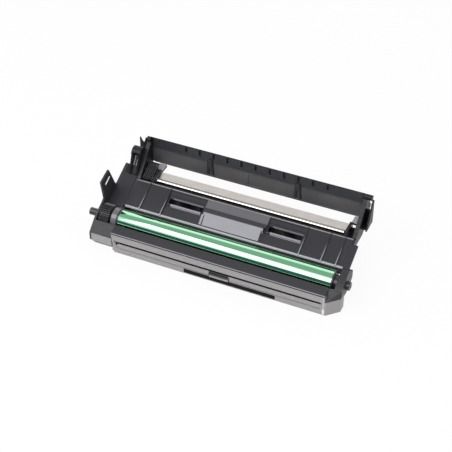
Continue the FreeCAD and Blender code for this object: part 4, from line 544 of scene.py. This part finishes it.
grey_acetal = finish_of("grey acetal", paint(94, 92, 96), paint(108, 106, 110), 0.26, coat=0.5,
                        coat_roughness=0.1)
ring_left, ring_right = span("left_drum_bearing")[:2]
ring_bore, ring_radius, ring_chamfer = 0.00805, 0.0123, 0.0003
lathed("drum_bearing_ring",
       tube(ring_left, ring_right, ring_bore, ring_radius, ring_chamfer, ring_chamfer), drum_axis,
       "housing", grey_acetal, 128, instead_of=("left_drum_bearing",))
pin_left, pin_right = span("drum_pivot_pin")[:2]
pin_radius, pin_lead, pin_head_radius, pin_head_chamfer = 0.0030, 0.0004, 0.00475, 0.0005
pin_head_left, dimple_radius, dimple_floor, dimple_depth = pin_right - 0.0045, 0.0020, 0.0016, 0.0010
lathed("pivot_pin", [
    (pin_left, 0.0), (pin_left, pin_radius - pin_lead), (pin_left + pin_lead, pin_radius),
    (pin_head_left, pin_radius), (pin_head_left, pin_head_radius),
    (pin_right - pin_head_chamfer, pin_head_radius), (pin_right, pin_head_radius - pin_head_chamfer),
    (pin_right, dimple_radius), (pin_right - dimple_depth, dimple_floor), (pin_right - dimple_depth, 0.0)],
    drum_axis, "housing", black_acetal, 64, instead_of=("drum_pivot_pin",))

# Cradle
# The black sloping tray behind the drum, with low ribs, two finger windows, a notched rim and
# the trough for the idle roller; its fins steer the paper at the left end.

black_plastic = finish_of("black moulded plastic", paint(44, 43, 48), paint(52, 51, 56), 0.34, relief=0.03)
tray_plastic = finish_of("black tray plastic", paint(42, 41, 46), paint(50, 49, 54), 0.36, relief=0.03)
tray_slope, lip_y, lip_z = 0.4727, 0.0321, 0.0311
tray_rise, tray_face = (0.0, -tray_slope, 1.0), lip_z - tray_slope * lip_y
rib_top_highlights = {"Y": (0.0335, 0.0625), "Rise": (tray_face + 0.0014, tray_face + 0.0024)}
lip_front_shade = {"Y": (0.0290, 0.0326), "Z": (0.0200, 0.0300)}
lip_edge_highlight = {"Y": (0.0308, 0.0336), "Z": (0.0298, 0.0335)}
tray_top_edge_highlight = {"Y": (0.0629, 0.0642), "Rise": (tray_face - 0.0006, tray_face + 0.0012)}
# Painted highlights along the tops of the tray's ribs.
painted_zone(tray_plastic, rib_top_highlights, paint(138, 137, 143), rise=tray_rise)
# Painted shade on the lip's front face, towards the drum.
painted_zone(tray_plastic, lip_front_shade, paint(12, 12, 16))
# A painted highlight along the lip's rounded edge.
painted_zone(tray_plastic, lip_edge_highlight, paint(176, 174, 182))
# A painted highlight along the tray's top edge.
painted_zone(tray_plastic, tray_top_edge_highlight, paint(158, 156, 160), rise=tray_rise)
for window in ((-0.0790, -0.0430), (0.0390, 0.0740)):
    window_front_highlight = {"X": window, "Y": (0.0452, 0.0480), "Rise": (tray_face - 0.0016, tray_face + 0.0010)}
    window_rear_highlight = {"X": window, "Y": (0.0540, 0.0552), "Rise": (tray_face - 0.0050, tray_face + 0.0030)}
    # Painted highlights along the front bar and the rear edge of each finger window.
    painted_zone(tray_plastic, window_front_highlight, paint(150, 149, 158), rise=tray_rise)
    painted_zone(tray_plastic, window_rear_highlight, paint(118, 116, 124), rise=tray_rise)
moulding("cradle_frame", "housing", tray_plastic)

# Grip
# A paler moulding clipped over the middle of the tray, where the unit is picked up. Its rear
# plate is painted in shade, darker than its steep front face, with a painted shadow along its front.

grip_plastic = finish_of("grip plastic", paint(140, 139, 147), paint(152, 151, 159), 0.42)
rear_plate_shade = {"Y": (0.0470, 0.0700)}
plate_front_shadow = {"Y": (0.0456, 0.0528)}
# Painted shade over the rear plate, and a darker painted shadow along its front.
painted_zone(grip_plastic, rear_plate_shade, paint(100, 98, 102))
painted_zone(grip_plastic, plate_front_shadow, paint(48, 47, 52))
moulding("grip_block", "housing", grip_plastic, edge=0.0004)

# Idle roller
# A thin polished steel tube on two plastic plugs. It turns in bushes in the tray's cheeks and
# carries the sheet over the edge of the tray.

idle_low, idle_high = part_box("idle_roller")
idle_left, idle_right, idle_axis = span("idle_roller")
idle_radius, idle_wall, idle_chamfer = (idle_high.z - idle_low.z) / 2, 0.0007, 0.0003
lathed("idle_roller_tube",
       tube(idle_left, idle_right, idle_radius - idle_wall, idle_radius, idle_chamfer, idle_chamfer),
       idle_axis, "idle_roller", polished_steel, instead_of=("idle_roller",))
for node, body in (("idle_roller_left_plug", "idle_roller"), ("idle_roller_right_plug", "idle_roller"),
                   ("idle_roller_left_bush", "housing"), ("idle_roller_right_bush", "housing")):
    moulding(node, body, grey_acetal, edge=0.00015)

# Steel stay
# A folded channel of brushed, plated sheet behind the idle roller. It stiffens the tray from
# one cheek to the other.

stay_steel = finish_of("brushed plated sheet", paint(226, 220, 214), paint(238, 232, 226), 0.36,
                       metallic=1.0, relief=0.05, drag=90.0)
moulding("rear_stay", "housing", stay_steel, edge=0.0003, segments=3)

# Paper guide
# The comb of deep black ribs under the tray; its rear feet stand level with the box.

guide_plastic = finish_of("black guide plastic", paint(16, 16, 22), paint(22, 21, 28), 0.5, relief=0.03,
                          specular=0.2)
moulding("paper_guide", "housing", guide_plastic)

# Rear wall and spring clips
# The black panel behind, screwed between the end frames, with a slotted band under its cap.
# Its lower panel is dulled by a film of toner dust. Two clips stand in pockets in it.


def toner_dust(material, colour, clear_above, full_below):
    """Lay a dust colour over the material: its share is cloudy noise times a mask that grows
    from none to all between two heights."""
    nodes, links = material.node_tree.nodes, material.node_tree.links
    base = nodes["Principled BSDF"].inputs["Base Color"]
    place, split = nodes.new("ShaderNodeTexCoord"), nodes.new("ShaderNodeSeparateXYZ")
    below = nodes.new("ShaderNodeMapRange")
    below.inputs["From Min"].default_value = clear_above
    below.inputs["From Max"].default_value = full_below
    clouds = nodes.new("ShaderNodeTexNoise")
    clouds.inputs["Scale"].default_value = 22.0
    clouds.inputs["Detail"].default_value = 5.0
    share = nodes.new("ShaderNodeMath")
    share.operation = "MULTIPLY"
    mix = nodes.new("ShaderNodeMix")
    mix.data_type = "RGBA"
    mix.inputs["B"].default_value = (*colour, 1.0)
    links.new(place.outputs["Object"], split.inputs[0])
    links.new(place.outputs["Object"], clouds.inputs["Vector"])
    links.new(split.outputs["Z"], below.inputs["Value"])
    links.new(below.outputs["Result"], share.inputs[0])
    links.new(clouds.outputs["Fac"], share.inputs[1])
    links.new(share.outputs[0], mix.inputs["Factor"])
    links.new(base.links[0].from_socket, mix.inputs["A"])
    links.new(mix.outputs["Result"], base)


def points_of(mesh):
    """A mesh's points as an array with one row for each."""
    points = np.empty(len(mesh.vertices) * 3)
    mesh.vertices.foreach_get("co", points)
    return points.reshape(-1, 3)


wall_face, wall_depth, wall_top = 0.0983, 0.0045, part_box("rear_wall")[1].z
crown_height, crown_fall = 0.0760, 0.9


def thin_topped(node):
    """Copy of a node whose top behind the wall's face, above the crown height, falls away to the
    rear: a height becomes no more than the wall's top less the fall times the way back."""
    mesh = solid_copy(node)
    points = points_of(mesh)
    crown = (points[:, 1] > wall_face) & (points[:, 2] > crown_height)
    points[crown, 1] = np.minimum(points[crown, 1], wall_face + wall_depth)
    fallen = wall_top - crown_fall * (points[crown, 1] - wall_face)
    points[crown, 2] = np.minimum(points[crown, 2], fallen)
    mesh.vertices.foreach_set("co", points.ravel())
    return finished(mesh)


dusty_plastic = finish_of("dusty black plastic", paint(48, 47, 53), paint(58, 57, 63), 0.4, relief=0.03)
toner_dust(dusty_plastic, paint(104, 101, 102), clear_above=0.0685, full_below=0.0660)
fit(thin_topped("rear_wall"), "rear_wall_moulding", "housing", dusty_plastic,
    edge=0.0002, instead_of=("rear_wall",))
moulding("rear_spring_clips", "housing", black_plastic, edge=0.0002)

# End frames
# The two black mouldings that carry the drum and close the ends: the left one with the slotted
# ear, the gear's cheek and the guide block, the right one with the bearing block and the fin.

frame_dark, frame_light = paint(48, 47, 52), paint(58, 57, 62)
left_plastic = finish_of("black left frame plastic", frame_dark, frame_light, 0.42, relief=0.03,
                         specular=0.3)
# The left frame's upper part is painted darker.
left_tower = {"X": (-0.1465, -0.1000), "Z": (0.0480, 0.0900)}
painted_zone(left_plastic, left_tower, paint(26, 25, 30))
# Painted highlights on two strips in the guide block's channel.
for strip in ((-0.1386, -0.1372), (-0.1352, -0.1332)):
    channel_strip_highlight = {"X": strip, "Y": (0.0700, 0.0815), "Z": (0.0560, 0.0650)}
    painted_zone(left_plastic, channel_strip_highlight, paint(160, 158, 166))
right_plastic = finish_of("black right frame plastic", frame_dark, frame_light, 0.42, relief=0.03,
                          specular=0.3)
# The right frame's upper rear part is painted darker.
right_tower = {"Y": (0.0640, 0.1200), "Z": (0.0400, 0.0900)}
painted_zone(right_plastic, right_tower, paint(24, 23, 28))

left_mesh = thin_topped("left_end_frame")
frame_points = points_of(left_mesh)
ear_slot_low, ear_slot_high = (-np.inf, 0.0270, 0.0558), (-0.1500, 0.0383, 0.0652)
ear_slot_slant = (0.0, 0.0025, -0.00535)
on_outer_rim = np.all((frame_points > ear_slot_low) & (frame_points < ear_slot_high), axis=1)
frame_points[on_outer_rim] += ear_slot_slant
left_mesh.vertices.foreach_set("co", frame_points.ravel())
fit(finished(left_mesh), "left_end_frame_moulding", "housing", left_plastic,
    edge=0.0003, instead_of=("left_end_frame",))
fit(thin_topped("right_end_frame"), "right_end_frame_moulding", "housing",
    right_plastic, edge=0.0003, instead_of=("right_end_frame",))

# Pads, screws and ground pin
# Pale soft pads lie on the ledges at both ends of the rear slot. Two screws at each side hold
# the frames to the tray and the wall, and a steel pin earths the drum's pin.

soft_pad = finish_of("soft pale pad", paint(168, 166, 178), paint(186, 184, 194), 0.6, grain=1400.0,
                     relief=0.4)
moulding("slot_end_pads", "housing", soft_pad, edge=0.0003)
screws_low, screws_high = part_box("frame_screws")
frame_screw_length = 0.0100
screws = []
for inward, face_x in ((1.0, screws_low.x), (-1.0, screws_high.x)):
    for y, z in ((screws_low.y + head_radius, screws_low.z + head_radius),
                 (screws_high.y - head_radius, screws_high.z - head_radius)):
        seat = (face_x + inward * head_rise, y, z)
        screws.append(pan_head_screw("frame_screw", seat, (inward, 0.0, 0.0), frame_screw_length))
fit(joined("frame_screw_set", screws), "frame_screw_set", "housing", screw_steel,
    edge=0, instead_of=("frame_screws",))
moulding("ground_pin", "housing", polished_steel, edge=0.0002)

# Studio
# A white table under a large soft box, in a room that looks white. Four cards hang out of the
# camera's sight: a dark one in front, a low dark one, a grey one overhead, a bright one behind.


def shown_white(nodes, links, plain, share):
    """Where the camera or a mirror looks, mix a share of white light over the plain shader."""
    rays = nodes.new("ShaderNodeLightPath")
    seen = nodes.new("ShaderNodeMath")
    seen.operation = "MAXIMUM"
    seen_through = nodes.new("ShaderNodeMath")
    seen_through.operation = "MAXIMUM"
    amount = nodes.new("ShaderNodeMath")
    amount.operation = "MULTIPLY"
    amount.inputs[1].default_value = share
    mix = nodes.new("ShaderNodeMixShader")
    links.new(rays.outputs["Is Camera Ray"], seen.inputs[0])
    links.new(rays.outputs["Is Glossy Ray"], seen.inputs[1])
    links.new(seen.outputs[0], seen_through.inputs[0])
    links.new(rays.outputs["Is Transmission Ray"], seen_through.inputs[1])
    links.new(seen_through.outputs[0], amount.inputs[0])
    links.new(amount.outputs[0], mix.inputs[0])
    links.new(plain, mix.inputs[1])
    return mix


def card(name, corners, material, in_sight=True, gives_light=True):
    """Flat four-cornered sheet that belongs to the studio, not to the object. Out of sight, only
    mirrors and the light show it; one that gives no light casts no shadow either."""
    mesh = bpy.data.meshes.new(name)
    mesh.from_pydata(corners, [], [[0, 1, 2, 3]])
    mesh.materials.append(material)
    sheet = bpy.data.objects.new(name, mesh)
    sheet.visible_camera = in_sight
    sheet.visible_diffuse = sheet.visible_shadow = gives_light
    bpy.context.scene.collection.objects.link(sheet)


half_room = 4.0


def level(height, near, far):
    """Corners of a sheet that lies level at a height, from near to far."""
    return [(-half_room, near, height), (half_room, near, height),
            (half_room, far, height), (-half_room, far, height)]


def upright(y, low, high):
    """Corners of a sheet that stands across the room at y, from low to high."""
    return [(-half_room, y, low), (half_room, y, low), (half_room, y, high), (-half_room, y, high)]


def glowing(name, colour):
    """Material of a card that shows one tone whatever light falls on it."""
    material = bpy.data.materials.new(name)
    material.use_nodes = True
    nodes, links = material.node_tree.nodes, material.node_tree.links
    glow = nodes.new("ShaderNodeEmission")
    glow.inputs["Color"].default_value = (*colour, 1.0)
    links.new(glow.outputs["Emission"], nodes["Material Output"].inputs["Surface"])
    return material


white_table = bpy.data.materials.new("white table")
white_table.use_nodes = True
table_nodes, table_links = white_table.node_tree.nodes, white_table.node_tree.links
table_nodes["Principled BSDF"].inputs["Base Color"].default_value = (0.9, 0.9, 0.9, 1.0)
table_nodes["Principled BSDF"].inputs["Roughness"].default_value = 0.8
table_white = shown_white(table_nodes, table_links, table_nodes["Principled BSDF"].outputs["BSDF"], 0.91)
table_glow = table_nodes.new("ShaderNodeEmission")
table_links.new(table_glow.outputs["Emission"], table_white.inputs[2])
table_links.new(table_white.outputs["Shader"], table_nodes["Material Output"].inputs["Surface"])

dark_tone, overhead_tone, rear_tone = (0.07, 0.115, 0.15), (0.52, 0.52, 0.53), (1.4, 1.4, 1.4)
card("table_top", level(0.0, -0.45, 6.0), white_table)
card("front_card", upright(-1.35, -1.2, 0.56), glowing("dark front card", dark_tone), in_sight=False)
card("low_front_card", upright(-0.2, 0.001, 0.018), glowing("dark low card", dark_tone),
     in_sight=False, gives_light=False)
card("overhead_card", level(1.9, -0.62, 1.05), glowing("grey overhead card", overhead_tone),
     in_sight=False)
card("rear_card", upright(2.5, 1.2, 3.4), glowing("bright rear card", rear_tone), in_sight=False)


def soft_box(name, azimuth, elevation, distance, width, height, strength, target):
    """Rectangular lamp aimed at the target; azimuth 0 stands in front, elevation is above level."""
    lamp = bpy.data.lights.new(name, "AREA")
    lamp.shape = "RECTANGLE"
    lamp.size, lamp.size_y = width, height
    lamp.energy = strength * math.pi * width * height
    stand = bpy.data.objects.new(name, lamp)
    turn, rise = math.radians(azimuth), math.radians(elevation)
    stand.location = (target[0] + distance * math.cos(rise) * math.sin(turn),
                      target[1] - distance * math.cos(rise) * math.cos(turn),
                      target[2] + distance * math.sin(rise))
    stand.rotation_euler = (math.pi / 2 - rise, 0.0, turn)
    stand.visible_camera = False
    bpy.context.scene.collection.objects.link(stand)


soft_box("front soft box", azimuth=-17.0, elevation=47.0, distance=1.6, width=2.2, height=0.98,
         strength=3.0, target=(0.0, 0.02, 0.03))
world = bpy.data.worlds.new("white room")
bpy.context.scene.world = world
world.use_nodes = True
room_nodes, room_links = world.node_tree.nodes, world.node_tree.links
room_nodes["Background"].inputs["Color"].default_value = (0.62, 0.62, 0.62, 1.0)
room_white = shown_white(room_nodes, room_links, room_nodes["Background"].outputs["Background"], 1.0)
room_glow = room_nodes.new("ShaderNodeBackground")
room_glow.inputs["Color"].default_value = (1.0, 1.0, 1.0, 1.0)
room_links.new(room_glow.outputs["Background"], room_white.inputs[2])
room_links.new(room_white.outputs["Shader"], room_nodes["World Output"].inputs["Surface"])
bpy.context.scene.view_settings.view_transform = "Standard"

# Camera
# A long lens, a little above the front right corner, as the photograph was taken.

looks_down, looks_left = 38.91, 24.46
lens = bpy.data.cameras.new("camera")
lens.lens = 94.0
lens.sensor_width = 36.0
camera = bpy.data.objects.new("camera", lens)
camera.location = (0.3979, -0.8556, 0.8303)
camera.rotation_euler = (math.radians(90.0 - looks_down), 0.0, math.radians(looks_left))
bpy.context.scene.collection.objects.link(camera)
bpy.context.scene.camera = camera
